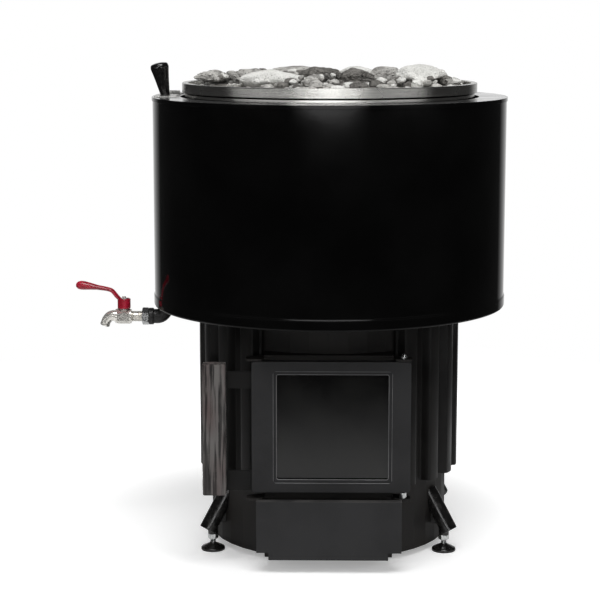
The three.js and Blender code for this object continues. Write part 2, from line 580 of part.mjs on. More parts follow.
// Tap: an elbow under the tank floor, lock nut, nipple and a hexagon ball valve with a bent spout
const onTap = (x, rise = 0) => [x, 0, TAP_Z + rise];
const onStem = (z) => [TAP_STEM_X, 0, z];
const elbowMouth = -333;
const threadBore = 10.6;
add('tap_elbow', cut(
  join(
    rod(onTap(ELBOW_X), [ELBOW_X, 0, TANK_FLOOR - GAP], 13),
    rod([ELBOW_X, 0, TANK_FLOOR - 8], [ELBOW_X, 0, TANK_FLOOR - GAP], 15.5),
    rod(onTap(ELBOW_X), onTap(elbowMouth), 13.5),
    rod(onTap(elbowMouth + 8), onTap(elbowMouth), 15.5),
    new THREE.SphereGeometry(14, 12, 8).rotateX(Math.PI / 2).translate(...onTap(ELBOW_X)),
  ),
  rod(onTap(ELBOW_X), [ELBOW_X, 0, TANK_FLOOR + 5], 9),
  rod(onTap(ELBOW_X), onTap(elbowMouth - 7), 9),
  rod(onTap(elbowMouth + 15), onTap(elbowMouth - 7), threadBore),
), blackIron);
add('tap_lock_nut', cut(
  rod(onTap(elbowMouth - GAP), onTap(elbowMouth - 12), hexRadius(28), 6),
  rod(onTap(elbowMouth + 10), onTap(elbowMouth - 20), threadBore),
), zinc);
add('tap_nipple', cut(
  rod(onTap(elbowMouth + 14), onTap(elbowMouth - 39), 10),
  rod(onTap(elbowMouth + 20), onTap(elbowMouth - 45), 7),
), nickel);
const spoutBend = [onTap(-398, 1), onTap(-406, -1), onTap(-412, -8)];
add('tap_body', cut(
  join(
    rod(onTap(-365 - GAP), onTap(-395), hexRadius(25), 6),
    swept([onTap(-392), ...spoutBend, onTap(-415.5, -17.5)], 9, 7, 8),
    rod(onTap(TAP_STEM_X), onStem(421), 8.5, 10),
    rod(onStem(419), onStem(431), hexRadius(15), 6),
  ),
  swept([onTap(-388), ...spoutBend, onTap(-416.5, -21)], 6, 7, 8),
  rod(onTap(-360), onTap(-373), threadBore),
  rod(onTap(-372), onTap(-389), 9.2, 10),
  rod(onTap(TAP_STEM_X), onStem(440), 4, 10),
), nickel);
add('tap_stem', cut(
  join(
    new THREE.SphereGeometry(8, 10, 6).rotateX(Math.PI / 2).translate(...onTap(TAP_STEM_X)),
    rod(onTap(TAP_STEM_X), onStem(446), 3.5, 10),
  ),
  rod(onTap(-360), onTap(-395), 5, 10),
), nickel);

// Lever: a cup over the gland nut, an arm that rises to a bend, and a fat grip at its tip
const cupFoot = 424;
const cupFloor = 432;
const nutSeat = 437;
const cupTop = 442;
const gripHalf = 8.4;
add('tap_lever', cut(
  join(
    rod(onStem(cupFoot), onStem(cupTop), 12),
    swept([[-383, 0, 437], [-392, 0, 446], [-401, 0, 457], [-420, 0, 461.5], [-456, 0, LEVER_Z]], 4.4, 9, 8),
    new THREE.SphereGeometry(gripHalf, 10, 8).scale(1.9, 1, 1)
      .translate(LEVER_TIP + 1.9 * gripHalf, 0, LEVER_Z),
  ),
  rod(onStem(cupFoot - 5), onStem(cupFloor), 9.6),
  rod(onStem(cupFoot), onStem(cupTop + 5), 4.1, 10),
  rod(onStem(nutSeat), onStem(cupTop + 5), 9),
), redGrip);
add('tap_lever_nut', cut(
  rod(onStem(nutSeat + GAP), onStem(cupTop + 1), hexRadius(12), 6),
  rod(onStem(nutSeat - 5), onStem(cupTop + 5), 3.9, 10),
), zinc);

export default stove;
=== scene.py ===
import math

import bmesh
import bpy
import numpy as np
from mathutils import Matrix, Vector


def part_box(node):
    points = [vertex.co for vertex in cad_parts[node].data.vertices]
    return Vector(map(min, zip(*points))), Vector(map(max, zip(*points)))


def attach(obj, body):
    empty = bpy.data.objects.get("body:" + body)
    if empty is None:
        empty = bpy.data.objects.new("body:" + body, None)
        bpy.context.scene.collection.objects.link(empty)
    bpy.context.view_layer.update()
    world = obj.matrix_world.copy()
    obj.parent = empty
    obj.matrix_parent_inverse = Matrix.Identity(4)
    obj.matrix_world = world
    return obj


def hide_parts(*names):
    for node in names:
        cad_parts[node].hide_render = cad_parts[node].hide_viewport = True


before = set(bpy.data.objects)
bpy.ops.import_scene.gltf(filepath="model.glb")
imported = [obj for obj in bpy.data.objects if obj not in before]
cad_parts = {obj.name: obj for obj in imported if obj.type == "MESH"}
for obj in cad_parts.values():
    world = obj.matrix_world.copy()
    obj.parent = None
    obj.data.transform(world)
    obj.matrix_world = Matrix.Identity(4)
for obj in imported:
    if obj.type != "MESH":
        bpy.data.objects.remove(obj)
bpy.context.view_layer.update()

# Base plate: a plain steel disc that closes the firebox below, welded inside the shell's foot.
# It is painted with the same heat-resistant black as the shell, rolled on and slightly dusty.


def linear(code):
    """sRGB hex to linear RGBA: c / 12.92 up to 0.04045, above that ((c + 0.055) / 1.055) to the power 2.4."""
    srgb = np.array([int(code[k:k + 2], 16) for k in (1, 3, 5)]) / 255
    light = np.where(srgb <= 0.04045, srgb / 12.92, ((srgb + 0.055) / 1.055) ** 2.4)
    return (*light.tolist(), 1.0)


def add_node(tree, kind, settings=None, inputs=None):
    """Adds a node, sets its properties, and fills each input with a value or a link from another socket."""
    node = tree.nodes.new(kind)
    for name, value in (settings or {}).items():
        setattr(node, name, value)
    for name, value in (inputs or {}).items():
        if isinstance(value, bpy.types.NodeSocket):
            tree.links.new(value, node.inputs[name])
        else:
            node.inputs[name].default_value = value
    return node


def new_material(name, **sockets):
    """An empty node tree with one Principled shader whose even settings are put on its own sockets."""
    material = bpy.data.materials.new(name)
    material.use_nodes = True
    tree = material.node_tree
    tree.nodes.clear()
    inputs = {key.replace("_", " "): value for key, value in sockets.items()}
    shader = add_node(tree, "ShaderNodeBsdfPrincipled", inputs=inputs)
    add_node(tree, "ShaderNodeOutputMaterial", inputs={"Surface": shader.outputs[0]})
    return material, tree, shader


def speckle(tree, size_mm, stretch=(1, 1, 1), coordinate="Object", detail=3, low=0.35, high=0.65):
    """Noise on a piece's own coordinates, its features about size_mm across, its middle range from 0 to 1."""
    place = add_node(tree, "ShaderNodeTexCoord").outputs[coordinate]
    place = add_node(tree, "ShaderNodeMapping", inputs={"Vector": place, "Scale": stretch}).outputs[0]
    noise = add_node(tree, "ShaderNodeTexNoise", inputs={
        "Vector": place, "Scale": 1000 / size_mm, "Detail": detail})
    return add_node(tree, "ShaderNodeMapRange", inputs={
        "Value": noise.outputs["Fac"], "From Min": low, "From Max": high}).outputs[0]


def coat(tree, shader, colour, rough, bump=None):
    """Ties patterns to a finish: colour is a pattern and the two hex values or sockets it runs between, rough
    a pattern and the roughness at its ends, bump a pattern, its full height in mm and its strength."""
    pattern, *ends = colour
    first, last = (linear(end) if isinstance(end, str) else end for end in ends)
    mixed = add_node(tree, "ShaderNodeMix", {"data_type": "RGBA"}, {0: pattern, 6: first, 7: last})
    tree.links.new(mixed.outputs[2], shader.inputs["Base Color"])
    pattern, smooth, dull = rough
    level = add_node(tree, "ShaderNodeMapRange", inputs={"Value": pattern, "To Min": smooth, "To Max": dull})
    tree.links.new(level.outputs[0], shader.inputs["Roughness"])
    if bump:
        pattern, depth_mm, strength = bump
        raised = add_node(tree, "ShaderNodeBump", inputs={
            "Height": pattern, "Distance": depth_mm / 1000, "Strength": strength})
        tree.links.new(raised.outputs[0], shader.inputs["Normal"])


def heat_paint(name, dark, pale, rough_low, rough_high):
    """Heat-resistant silicone paint on steel: it dries flat, with faint clouds where it is rubbed. Its grit
    is drawn coarser than the real tenth of a millimetre, so that it shows."""
    material, tree, shader = new_material(name, IOR=1.5, Specular_IOR_Level=0.22)
    clouds = speckle(tree, 70, detail=5)
    grit = speckle(tree, 1.4, detail=2)
    both = add_node(tree, "ShaderNodeMath", {"operation": "MULTIPLY_ADD"}, {0: grit, 1: 0.35, 2: clouds})
    share = add_node(tree, "ShaderNodeMapRange", inputs={"Value": both.outputs[0], "To Max": 0.75}).outputs[0]
    coat(tree, shader, (share, dark, pale), (clouds, rough_low, rough_high), (grit, 0.12, 0.35))
    return material


def weld_seams(part):
    """Joins a carried-over node's loose triangles, so that its edges can be eased and its faces shaded."""
    part.modifiers.new("weld", "WELD").merge_threshold = 1e-5


def dress(material, *names, bevel_mm=0.0):
    """Gives carried-over nodes a finish and, where asked, eases their folded edges."""
    for name in names:
        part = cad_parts[name]
        part.data.materials.clear()
        part.data.materials.append(material)
        if bevel_mm:
            weld_seams(part)
            bevel = part.modifiers.new("bevel", "BEVEL")
            bevel.width = bevel_mm / 1000
            bevel.segments = 2
            bevel.limit_method = "ANGLE"
            bevel.angle_limit = math.radians(40)


stove_paint = heat_paint("heat_resistant_black_paint", "#121111", "#262422", 0.5, 0.7)
dress(stove_paint, "base_plate", "crown_plate", "grate_shelf", "glass_retainer", "flue_spigot")

# Legs: leaning steel tubes welded to the shell, each with a gusset and a threaded boss for a foot.
# They are dipped in black enamel, glossier than the shell.
tank_bottom, tank_top = (np.array(corner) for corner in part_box("tank_shell"))
axis_x, axis_y = (tank_bottom[:2] + tank_top[:2]) / 2


def grid_faces(shape, loop):
    """Corner numbers of the quads over a grid of points, or over a stack of grids. Columns join end to end,
    and rows do so where they run in a loop."""
    number = np.arange(np.prod(shape)).reshape(shape)
    if loop:
        number = np.concatenate([number, number[..., :1, :]], axis=-2)
    number = np.concatenate([number, number[..., :1]], axis=-1)
    corners = [number[..., :-1, :-1], number[..., 1:, :-1], number[..., 1:, 1:], number[..., :-1, 1:]]
    return np.stack(corners, -1).reshape(-1, 4).tolist()


def grid_piece(name, points, material, body, nodes=(), loop=True, sharp=35, uv=None, merge=1e-6):
    """A quad mesh over a grid of points with its poles merged, given its finish and shading, and tied to its
    body; the nodes that it stands for are hidden."""
    mesh = bpy.data.meshes.new(name)
    mesh.from_pydata(points.reshape(-1, 3).tolist(), [], grid_faces(points.shape[:-1], loop))
    if uv is not None:
        map_corners = [uv[:-1, :-1], uv[1:, :-1], uv[1:, 1:], uv[:-1, 1:]]
        layer = mesh.uv_layers.new(name="UVMap")
        layer.uv.foreach_set("vector", np.stack(map_corners, 2).reshape(-1).astype(np.float32))
    work = bmesh.new()
    work.from_mesh(mesh)
    bmesh.ops.remove_doubles(work, verts=work.verts, dist=merge)
    bmesh.ops.dissolve_degenerate(work, edges=work.edges, dist=merge / 10)
    bmesh.ops.recalc_face_normals(work, faces=work.faces)
    work.to_mesh(mesh)
    work.free()
    mesh.materials.append(material)
    mesh.polygons.foreach_set("use_smooth", np.ones(len(mesh.polygons), bool))
    mesh.set_sharp_from_angle(angle=math.radians(sharp))
    piece = bpy.data.objects.new(name, mesh)
    bpy.context.scene.collection.objects.link(piece)
    piece.modifiers.new("level_faces", "WEIGHTED_NORMAL").keep_sharp = True
    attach(piece, body)
    if nodes:
        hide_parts(*nodes)


def eased(corners, radius, steps=5):
    """A closed outline whose corners are quadratic curves from radius before to radius after each corner, or
    from 0.48 of the shorter side where that is less."""
    corner = np.asarray(corners, float)
    before = np.roll(corner, 1, 0) - corner
    after = np.roll(corner, -1, 0) - corner
    reach_before = np.linalg.norm(before, axis=1, keepdims=True)
    reach_after = np.linalg.norm(after, axis=1, keepdims=True)
    wanted = np.broadcast_to(np.asarray(radius, float).reshape(-1, 1), reach_before.shape)
    ease = np.minimum(wanted, 0.48 * np.minimum(reach_before, reach_after))
    start = (corner + before / reach_before * ease)[:, None]
    end = (corner + after / reach_after * ease)[:, None]
    t = np.linspace(0, 1, steps)[None, :, None]
    return ((1 - t) ** 2 * start + 2 * t * (1 - t) * corner[:, None] + t ** 2 * end).reshape(-1, 2)


def revolved(profile_mm, segments, centre=None):
    """A [radius, height] outline in millimetres turned about a vertical axis: its points, and a map of its
    turn and of its run, both in metres."""
    profile = np.asarray(profile_mm, float)
    x, y = centre if centre is not None else (axis_x, axis_y)
    angle = np.linspace(0, 2 * np.pi, segments, endpoint=False)[:, None]
    r = profile[:, 0] / 1000
    points = np.stack([x + r * np.cos(angle), y + r * np.sin(angle),
                       np.broadcast_to(profile[:, 1] / 1000, (segments, len(profile)))], -1)
    loop = np.concatenate([profile, profile[:1]])
    run = np.concatenate([[0], np.cumsum(np.linalg.norm(np.diff(loop, axis=0), axis=1))])
    widest = profile[:, 0].max()
    turn = np.linspace(0, 2 * np.pi * widest, segments + 1)
    uv = np.stack(np.meshgrid(turn, run, indexing="ij"), -1) / 1000
    return points, uv


def turned_piece(name, profile_mm, segments, material, body, nodes=(), centre=None):
    """A piece turned from an outline, mapped so that a pattern can follow its turn."""
    points, uv = revolved(profile_mm, segments, centre)
    grid_piece(name, points, material, body, nodes, uv=uv)


def carried(path_mm, radii_mm, sides, sideways=(0, 1, 0)):
    """A round section of changing radius carried along a path in the plane square to sideways. Where the path
    stands still it keeps the nearest direction, and where it comes back the section isn't turned over."""
    path = np.asarray(path_mm, float) / 1000
    radii = np.broadcast_to(np.asarray(radii_mm, float) / 1000, len(path))
    step = np.diff(path, axis=0)
    least_step, least_turn = 1e-7, 0.2
    moving = np.flatnonzero(np.linalg.norm(step, axis=1) > least_step)
    following = np.searchsorted(moving, np.arange(len(path)))
    before = step[moving[np.clip(following - 1, 0, None)]]
    after = step[moving[np.clip(following, None, len(moving) - 1)]]
    before, after = (way / np.linalg.norm(way, axis=1, keepdims=True) for way in (before, after))
    way = before + after
    back = np.linalg.norm(way, axis=1) < least_turn
    way[back] = before[back]
    across = np.asarray(sideways, float)
    up = np.cross(way / np.linalg.norm(way, axis=1, keepdims=True), across)
    same = np.sign(np.einsum("ij,ij->i", up[1:], up[:-1]))
    up[1:] *= np.cumprod(same)[:, None]
    angle = np.linspace(0, 2 * np.pi, sides, endpoint=False)
    ring = np.cos(angle)[None, :, None] * across + np.sin(angle)[None, :, None] * up[:, None]
    return path[:, None] + radii[:, None, None] * ring


def fanned(rings):
    """Closes a run of like outlines at both ends, by a fan to the middle of the first and of the last."""
    first, last = (np.broadcast_to(rings[k].mean(0), rings[k].shape)[None] for k in (0, -1))
    return np.concatenate([first, rings, last])


# Enamel runs as it drains, so its deep gloss wavers along the tube.
leg_enamel, tree, shader = new_material("black_dipped_enamel", IOR=1.5, Coat_Weight=0.25, Coat_Roughness=0.08)
drips = speckle(tree, 14, detail=4)
coat(tree, shader, (drips, "#0b0b0b", "#1b1a19"), (drips, 0.16, 0.34), (speckle(tree, 5), 0.15, 0.3))
# This grey satin paint is painted light: it makes the gussets pale, as if lit on their upturned faces.
gusset_painted_light_paint = heat_paint("gusset_grey_painted_light", "#2a2a2a", "#4a4949", 0.34, 0.5)

leg_foot_r, leg_foot_z, leg_top_r, leg_top_z = 253.5, 38.0, 217.0, 96.5
lean = np.array([leg_foot_r - leg_top_r, leg_foot_z - leg_top_z])
lean /= np.linalg.norm(lean)
leg_places = {"front_left": -150, "front_right": -30, "back_right": 30, "back_left": 150}
leg_run = np.array([-14, 0, 20, 40, 60, 67.2, 68.6, 68.95, 68.95, 66, 40])
leg_radius = [*np.full(6, 15), 14.6, 13.8, 12.2, 12, 12]
gusset_mm = eased([[216, 92], [216, 48], [246, 48], [236, 74]], 2.5, 4)
gusset_levels = np.array([-2.5, -2.1, 2.1, 2.5]) / 1000
gusset_shrink = 0.97
foot_circle = 242.0
boss_mm = eased([[0, 29.5], [9.3, 29.5], [9.3, 62], [0, 62]], [0.01, 1.2, 1.2, 0.01], 4)
foot_spots = {}
for place, degrees in leg_places.items():
    out = np.array([math.cos(math.radians(degrees)), math.sin(math.radians(degrees)), 0])
    side = np.array([-out[1], out[0], 0])
    origin = np.array([axis_x, axis_y, 0]) * 1000
    top = origin + out * leg_top_r + np.array([0, 0, leg_top_z])
    way = out * lean[0] + np.array([0, 0, lean[1]])
    tube = carried(top + leg_run[:, None] * way, leg_radius, 40, side)
    grid_piece(f"leg_tube_{place}", tube, leg_enamel, "stove", [f"leg_{place}"], loop=False)
    flat = (origin + gusset_mm[:, :1] * out + np.array([[0, 0, 1]]) * gusset_mm[:, 1:]) / 1000
    inset = flat.mean(0) + (flat - flat.mean(0)) * gusset_shrink
    gusset = fanned(np.stack([inset, flat, flat, inset]) + gusset_levels[:, None, None] * side)
    grid_piece(f"leg_gusset_{place}", gusset, gusset_painted_light_paint, "stove", loop=False)
    foot_spots[place] = (origin + out * foot_circle)[:2] / 1000
    turned_piece(f"leg_boss_{place}", boss_mm, 32, leg_enamel, "stove", (), foot_spots[place])

# Levelling feet: turned discs blackened like the legs, on bright zinc-plated threaded stems with a lock nut.
# The thread is cut on the stem, so fine rings catch the light.


def clouded(name, size_mm, detail, colours, rough, bump=None, **sockets):
    """A finish with one pattern in it, which sets its colour, its roughness and, where given, its relief."""
    material, tree, shader = new_material(name, **sockets)
    cloud = speckle(tree, size_mm, detail=detail)
    coat(tree, shader, (cloud, *colours), (cloud, *rough), bump and (cloud, *bump))
    return material


# Bright zinc is a soft mirror, hardly clouded by its crystals.
zinc = clouded("bright_zinc_plate", 2.5, 4, ("#c6c8c8", "#d8d9d9"), (0.24, 0.3), (0.02, 0.12), Metallic=1.0)


def threaded(radius, bottom, top, pitch, depth):
    """Profile of a bar whose radius falls and rises once per pitch, as a cosine, between two heights."""
    z = np.linspace(bottom, top, int((top - bottom) / pitch * 8) + 1)
    r = radius - depth * (0.5 + 0.5 * np.cos(2 * np.pi * (z - bottom) / pitch))
    return np.stack([r, z], -1)


def hexagonal(flats, bottom, top, bore, chamfer=0.8, end_round=1.04, segments=96):
    """Radius of a hexagon at each angle, its corners cut at both ends by a cone that leaves end_round times
    the width over its flats, and a round bore."""
    angle = np.linspace(0, 2 * np.pi, segments, endpoint=False)
    side = np.mod(angle, np.pi / 3) - np.pi / 6
    edge = flats / 2 / np.cos(side)
    round_end = np.minimum(edge, flats / 2 * end_round)
    levels = [bottom, bottom, bottom + chamfer, top - chamfer, top, top]
    inside = np.full_like(angle, bore)
    rings = np.stack([inside, round_end, edge, edge, round_end, inside])
    return np.stack([rings * np.cos(angle), rings * np.sin(angle),
                     np.repeat(levels, segments).reshape(rings.shape)], -1)


disc_mm = eased([[0, 0], [21.75, 0], [21.75, 4], [20, 6], [6.2, 12.4], [5, 14], [0, 14]],
                [0.01, 0.8, 1.2, 1.0, 1.5, 0.3, 0.01], 4)
stem_mm = np.concatenate([[[0, 12]], threaded(4.9, 12, 57, 1.5, 0.45), [[0, 57.5]]])
for place, spot in foot_spots.items():
    body = f"leveller_{place}"
    turned_piece(f"foot_disc_{place}", disc_mm, 48, leg_enamel, body, [f"foot_{place}"], spot)
    turned_piece(f"foot_stem_{place}", stem_mm, 48, zinc, body, (), spot)
    nut = hexagonal(17, 21, 29.2, 5.05) / 1000 + np.array([*spot, 0])
    grid_piece(f"foot_nut_{place}", nut, zinc, body, sharp=20)

# Firebox shell: 4 mm steel plate rolled to a cylinder, with openings for the door neck and the flue.
# Its seam is welded at the back; paint covers it, a little burnt and paler by the fire.
dress(stove_paint, "firebox_shell")
weld_seams(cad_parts["firebox_shell"])

# Front frame: a folded neck with a face plate and four lugs, so the door can hang on either side.
# Laser-cut and folded from 3 to 4 mm plate, edges eased by the paint.
dress(stove_paint, "front_frame", bevel_mm=0.6)

# Fluted mantle: one sheet bent into hat-shaped channels that draw air up round the firebox.
# Each channel has a rounded crest; the sheet stops short of the door neck on both sides.
flute_pitch, flute_count, half_flute, steps_per_flute = 15.0, 20, 5.9, 24
crest_r, valley_r, crown_mm, sheet_mm = 239.0, 222.5, 1.2, 1.5
mantle_bottom, mantle_top = (corner[2] * 1000 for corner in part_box("mantle"))
levels_mm = np.array([0, 0.3, 1, 30, 150, 269, 298.4, 299.2])
mantle_levels = mantle_bottom + levels_mm / levels_mm[-1] * (mantle_top - mantle_bottom)


def fluted_sheet(steps):
    """Radius over angle: flat valleys, steep walls by a smooth step of the cosine, softly crowned crests."""
    crest_wider, steepness = 0.12, 9
    sweep = flute_pitch * (flute_count - 1)
    first_crest = -90 + (360 - sweep) / 2
    degrees = np.linspace(first_crest - half_flute, first_crest + sweep + half_flute, steps)
    swing = np.cos((degrees - first_crest) / flute_pitch * 2 * np.pi)
    wall = 1 / (1 + np.exp(-(swing + crest_wider) * steepness))
    crown = crown_mm * np.clip(swing, 0, 1)
    radius = valley_r + (crest_r - crown_mm - valley_r) * wall + crown * wall
    angle = np.radians(degrees)
    return np.stack([radius * np.cos(angle), radius * np.sin(angle)], -1)


def stood(outline):
    """A flat outline repeated at each level of the mantle."""
    shape = (len(outline), len(mantle_levels), 1)
    return np.concatenate([np.repeat(outline[:, None], len(mantle_levels), 1),
                           np.broadcast_to(mantle_levels[:, None], shape)], 2)


outer = fluted_sheet(steps_per_flute * flute_count)
slope = np.gradient(outer, axis=0)
slope /= np.linalg.norm(slope, axis=1, keepdims=True)
inner = outer - sheet_mm * np.stack([slope[:, 1], -slope[:, 0]], -1)
walls = np.concatenate([stood(outer), stood(inner)[:, ::-1]], 1)
mantle = fanned(walls) / 1000 + np.array([axis_x, axis_y, 0])
# Sprayed on smooth sheet, this paint has more sheen than the shell's, so the crests show as bright stripes.
mantle_paint = heat_paint("mantle_black_paint", "#080707", "#161514", 0.28, 0.42)
grid_piece("fluted_mantle", mantle, mantle_paint, "stove", ["mantle"], loop=False)

# Fire grate and smoke baffle of grey cast iron, ash box rails and small fittings of zinc-coated steel.
# They are out of sight in use; the grate shows through the open door.
# Sand leaves iron a dull pitted skin, browned a little by the fire.
cast_iron = clouded("sand_cast_iron", 3.5, 5, ("#1c1b1a", "#46423e"), (0.6, 0.85), (0.5, 0.6), Metallic=0.35)
dress(cast_iron, "fire_grate", "smoke_baffle", bevel_mm=0.8)
dress(zinc, "ash_runner_left", "ash_runner_right", "ash_tray", "catch_keeper", "catch_tongue",
      "lid_hinge_pin")

# Fire door: a steel leaf with a stepped window, painted a flat charcoal a shade paler than the body.
# Its edges are eased first, and the sprayed coat looks dry and more even than the body's.
door_paint = heat_paint("charcoal_door_paint", "#1d1d1e", "#29292a", 0.46, 0.6)
dress(door_paint, "door_leaf", bevel_mm=1.0)

# Window glass: heat-proof glass ceramic, clear but dark against the cold firebox, with faint soot haze.
# It sits on a flat woven gasket and is clamped by a thin frame behind.
# It mirrors like a dark pane, a little blurred where soot has dried on.
glass = clouded("heatproof_glass", 60, 4, ("#0d0d0d", "#191918"), (0.03, 0.1),
                IOR=1.52, Transmission_Weight=0.3, Specular_IOR_Level=0.48)
dress(glass, "door_glass", bevel_mm=0.5)
# Woven glass yarn is matt and fibrous; the weave is drawn coarser than the real half millimetre to show.
woven = clouded("woven_glass_fibre_seal", 1.6, 2, ("#5d5a54", "#a5a197"), (0.85, 1.0), (0.5, 0.7),
                Sheen_Weight=0.2)
dress(woven, "glass_gasket", "door_seal")

# Window edges: the step round the glass is rolled to a thin bead at its outer and its inner edge.
# The beads are painted a shade paler than the leaf, as a painted highlight along the step's edges.
painted_highlight_bead_paint = heat_paint("bead_paint_painted_highlight", "#4c4c4d", "#6e6e6f", 0.35, 0.5)
glass_low, glass_high = (np.array(corner) * 1000 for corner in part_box("door_glass"))
door_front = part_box("door_leaf")[0][1] * 1000
glass_lap, bead_r, window_corner = 8, 0.8, 4
bead_places = {"outer": (6, 0.9), "inner": (0.2, 3.2)}


def window_bead(outset, depth):
    """A round section carried once round the window, starting and ending in the middle of its lower side."""
    x0, z0 = glass_low[[0, 2]] + glass_lap - outset
    x1, z1 = glass_high[[0, 2]] - glass_lap + outset
    corners = [[(x0 + x1) / 2, z0], [x1, z0], [x1, z1], [x0, z1], [x0, z0]]
    loop = eased(corners, [0.01, *np.full(4, window_corner)], 8)
    loop = np.concatenate([loop, loop[:1]])
    path = np.stack([loop[:, 0], np.full(len(loop), door_front + depth), loop[:, 1]], -1)
    return carried(path, bead_r, 12)


for edge, place in bead_places.items():
    grid_piece(f"window_bead_{edge}", window_bead(*place), painted_highlight_bead_paint, "door", loop=False)

# Hinge pins: turned bright steel, zinc plated; the upper one has a tapered head above its lug,
# the lower one a collar that the door stands on.
pin_x, pin_y = np.mean(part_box("hinge_pin_upper"), axis=0)[:2]
pin_r, head_r, tip_r, collar_r = 4.0, 5.6, 2.4, 6.2
upper_low, upper_high = (corner[2] * 1000 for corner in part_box("hinge_pin_upper"))
head_low, taper_low = upper_high - 8.6, upper_high - 5.6
upper_mm = eased([[0, upper_low], [pin_r, upper_low], [pin_r, head_low], [head_r, head_low],
                  [head_r, taper_low], [tip_r, upper_high], [0, upper_high]],
                 [0.01, 0.8, 0.01, 0.5, 1.2, 1.2, 0.01], 5)
lower_low, lower_high = (corner[2] * 1000 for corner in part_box("hinge_pin_lower"))
collar_low, collar_high = lower_low + 5.3, lower_high - 16.4
lower_mm = eased([[0, lower_low], [pin_r, lower_low], [pin_r, collar_low], [collar_r, collar_low],
                  [collar_r, collar_high], [pin_r, collar_high], [pin_r, lower_high], [0, lower_high]],
                 [0.01, 0.8, 0.01, 0.8, 0.8, 0.01, 0.8, 0.01], 5)
for place, outline in (("upper", upper_mm), ("lower", lower_mm)):
    turned_piece(f"{place}_hinge_pin", outline, 40, zinc, "stove", [f"hinge_pin_{place}"],
                 (pin_x, pin_y))

# Handle: a rough-sawn plank, darkened by heat and hands, screwed to two flat black brackets.
# The saw leaves shallow cross marks and the grain runs up the plank; its arrises are broken by hand.
# Sawn wood is dry and streaked, reddish in patches; its fibres are drawn coarser than real to show.
wood, tree, shader = new_material("rough_sawn_darkened_wood", IOR=1.45, Specular_IOR_Level=0.25)
grain = speckle(tree, 5, (1, 1, 0.05), detail=3, low=0.4, high=0.6)
fibre = speckle(tree, 1.6, (1, 1, 0.03), detail=4, low=0.3, high=0.7)
stain = speckle(tree, 60, (1, 1, 0.4), detail=2, low=0.5, high=0.7)
both = add_node(tree, "ShaderNodeMath", {"operation": "MULTIPLY_ADD"},
                {0: fibre, 1: 0.4, 2: grain}).outputs[0]
share = add_node(tree, "ShaderNodeMapRange", inputs={"Value": both, "To Max": 0.72}).outputs[0]
coat(tree, shader, (share, "#0f0e0e", "#73706e"), (fibre, 0.62, 0.9), (both, 0.9, 0.8))
streaks = shader.inputs["Base Color"].links[0].from_socket
reddish = add_node(tree, "ShaderNodeMix", {"data_type": "RGBA", "blend_type": "MULTIPLY"},
                   {0: stain, 6: streaks, 7: linear("#d9bfc0")})
tree.links.new(reddish.outputs[2], shader.inputs["Base Color"])
plank_low, plank_high = (np.array(corner) * 1000 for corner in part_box("handle_plank"))


def sawn_plank(rows):
    """An eased rectangle carried upwards; each level shrinks by a sine of the height for the saw marks and by
    a random wear of levels and of fibres, and more at both ends."""
    arris, saw_wave, saw_depth, wear_depth, least_inset = 3.0, 5.3, 0.25, 0.12, 0.45
    x0, y0, z0 = plank_low
    x1, y1, z1 = plank_high
    outline = eased([[x0, y0], [x1, y0], [x1, y1], [x0, y1]], arris, 6)
    centre = outline.mean(0)
    dice = np.random.default_rng(7)
    z = np.concatenate([[z0, z0, z0 + 0.8], np.linspace(z0 + 2, z1 - 2, rows), [z1 - 0.8, z1, z1]])
    wear = dice.normal(0, wear_depth, (len(z), 1, 1)) + saw_depth * np.sin(z / saw_wave)[:, None, None]
    fibres = dice.normal(0, wear_depth, (1, len(outline), 1))
    inset = least_inset + np.clip(wear + fibres, -0.4, 0.8)
    inset[[1, -2]] += 1.2
    inset[[2, -3]] += 0.4
    away = (outline - centre) / np.linalg.norm(outline - centre, axis=1, keepdims=True)
    ring = outline[None] - inset * away[None]
    ring[0] = ring[-1] = centre
    levels = np.broadcast_to(z[:, None, None], (*ring.shape[:2], 1))
    return np.concatenate([ring, levels], 2) / 1000


grid_piece("sawn_handle_plank", sawn_plank(150), wood, "door", ["handle_plank"],
           loop=False, sharp=50)
# Painted darker than the body's black, as painted shade for the brackets in the shadow behind the plank.
bracket_painted_shade_paint = heat_paint("bracket_black_painted_shade", "#0a0a0a", "#151413", 0.5, 0.66)
dress(bracket_painted_shade_paint, "handle_bracket_upper", "handle_bracket_lower", bevel_mm=0.7)

# Ash box front: 2 mm sheet folded at the top and sides, painted like the door.
# The top fold carries a painted highlight, a grey that comes and goes in patches.
# The coat looks as dry as the door's.
ash_paint = heat_paint("charcoal_ash_box_paint", "#202021", "#2c2c2d", 0.45, 0.6)
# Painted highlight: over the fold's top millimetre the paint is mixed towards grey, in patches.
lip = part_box("ash_front")[1][2]
highlight_from, highlight_full = lip - 0.001, lip - 0.0004
tree = ash_paint.node_tree
shader = tree.nodes["Principled BSDF"]
place = add_node(tree, "ShaderNodeTexCoord").outputs["Object"]
height = add_node(tree, "ShaderNodeSeparateXYZ", inputs={0: place}).outputs["Z"]
lip_highlight = add_node(tree, "ShaderNodeMapRange", inputs={
    "Value": height, "From Min": highlight_from, "From Max": highlight_full}).outputs[0]
highlight_patches = add_node(tree, "ShaderNodeMapRange", inputs={
    "Value": speckle(tree, 40, detail=4), "To Min": 0.15, "To Max": 0.8}).outputs[0]
share = add_node(tree, "ShaderNodeMath", {"operation": "MULTIPLY"}, {0: lip_highlight, 1: highlight_patches}).outputs[0]
painted = shader.inputs["Base Color"].links[0].from_socket
highlighted = add_node(tree, "ShaderNodeMix", {"data_type": "RGBA"}, {0: share, 6: painted, 7: linear("#444342")})
tree.links.new(highlighted.outputs[2], shader.inputs["Base Color"])
dress(ash_paint, "ash_front", bevel_mm=0.7)

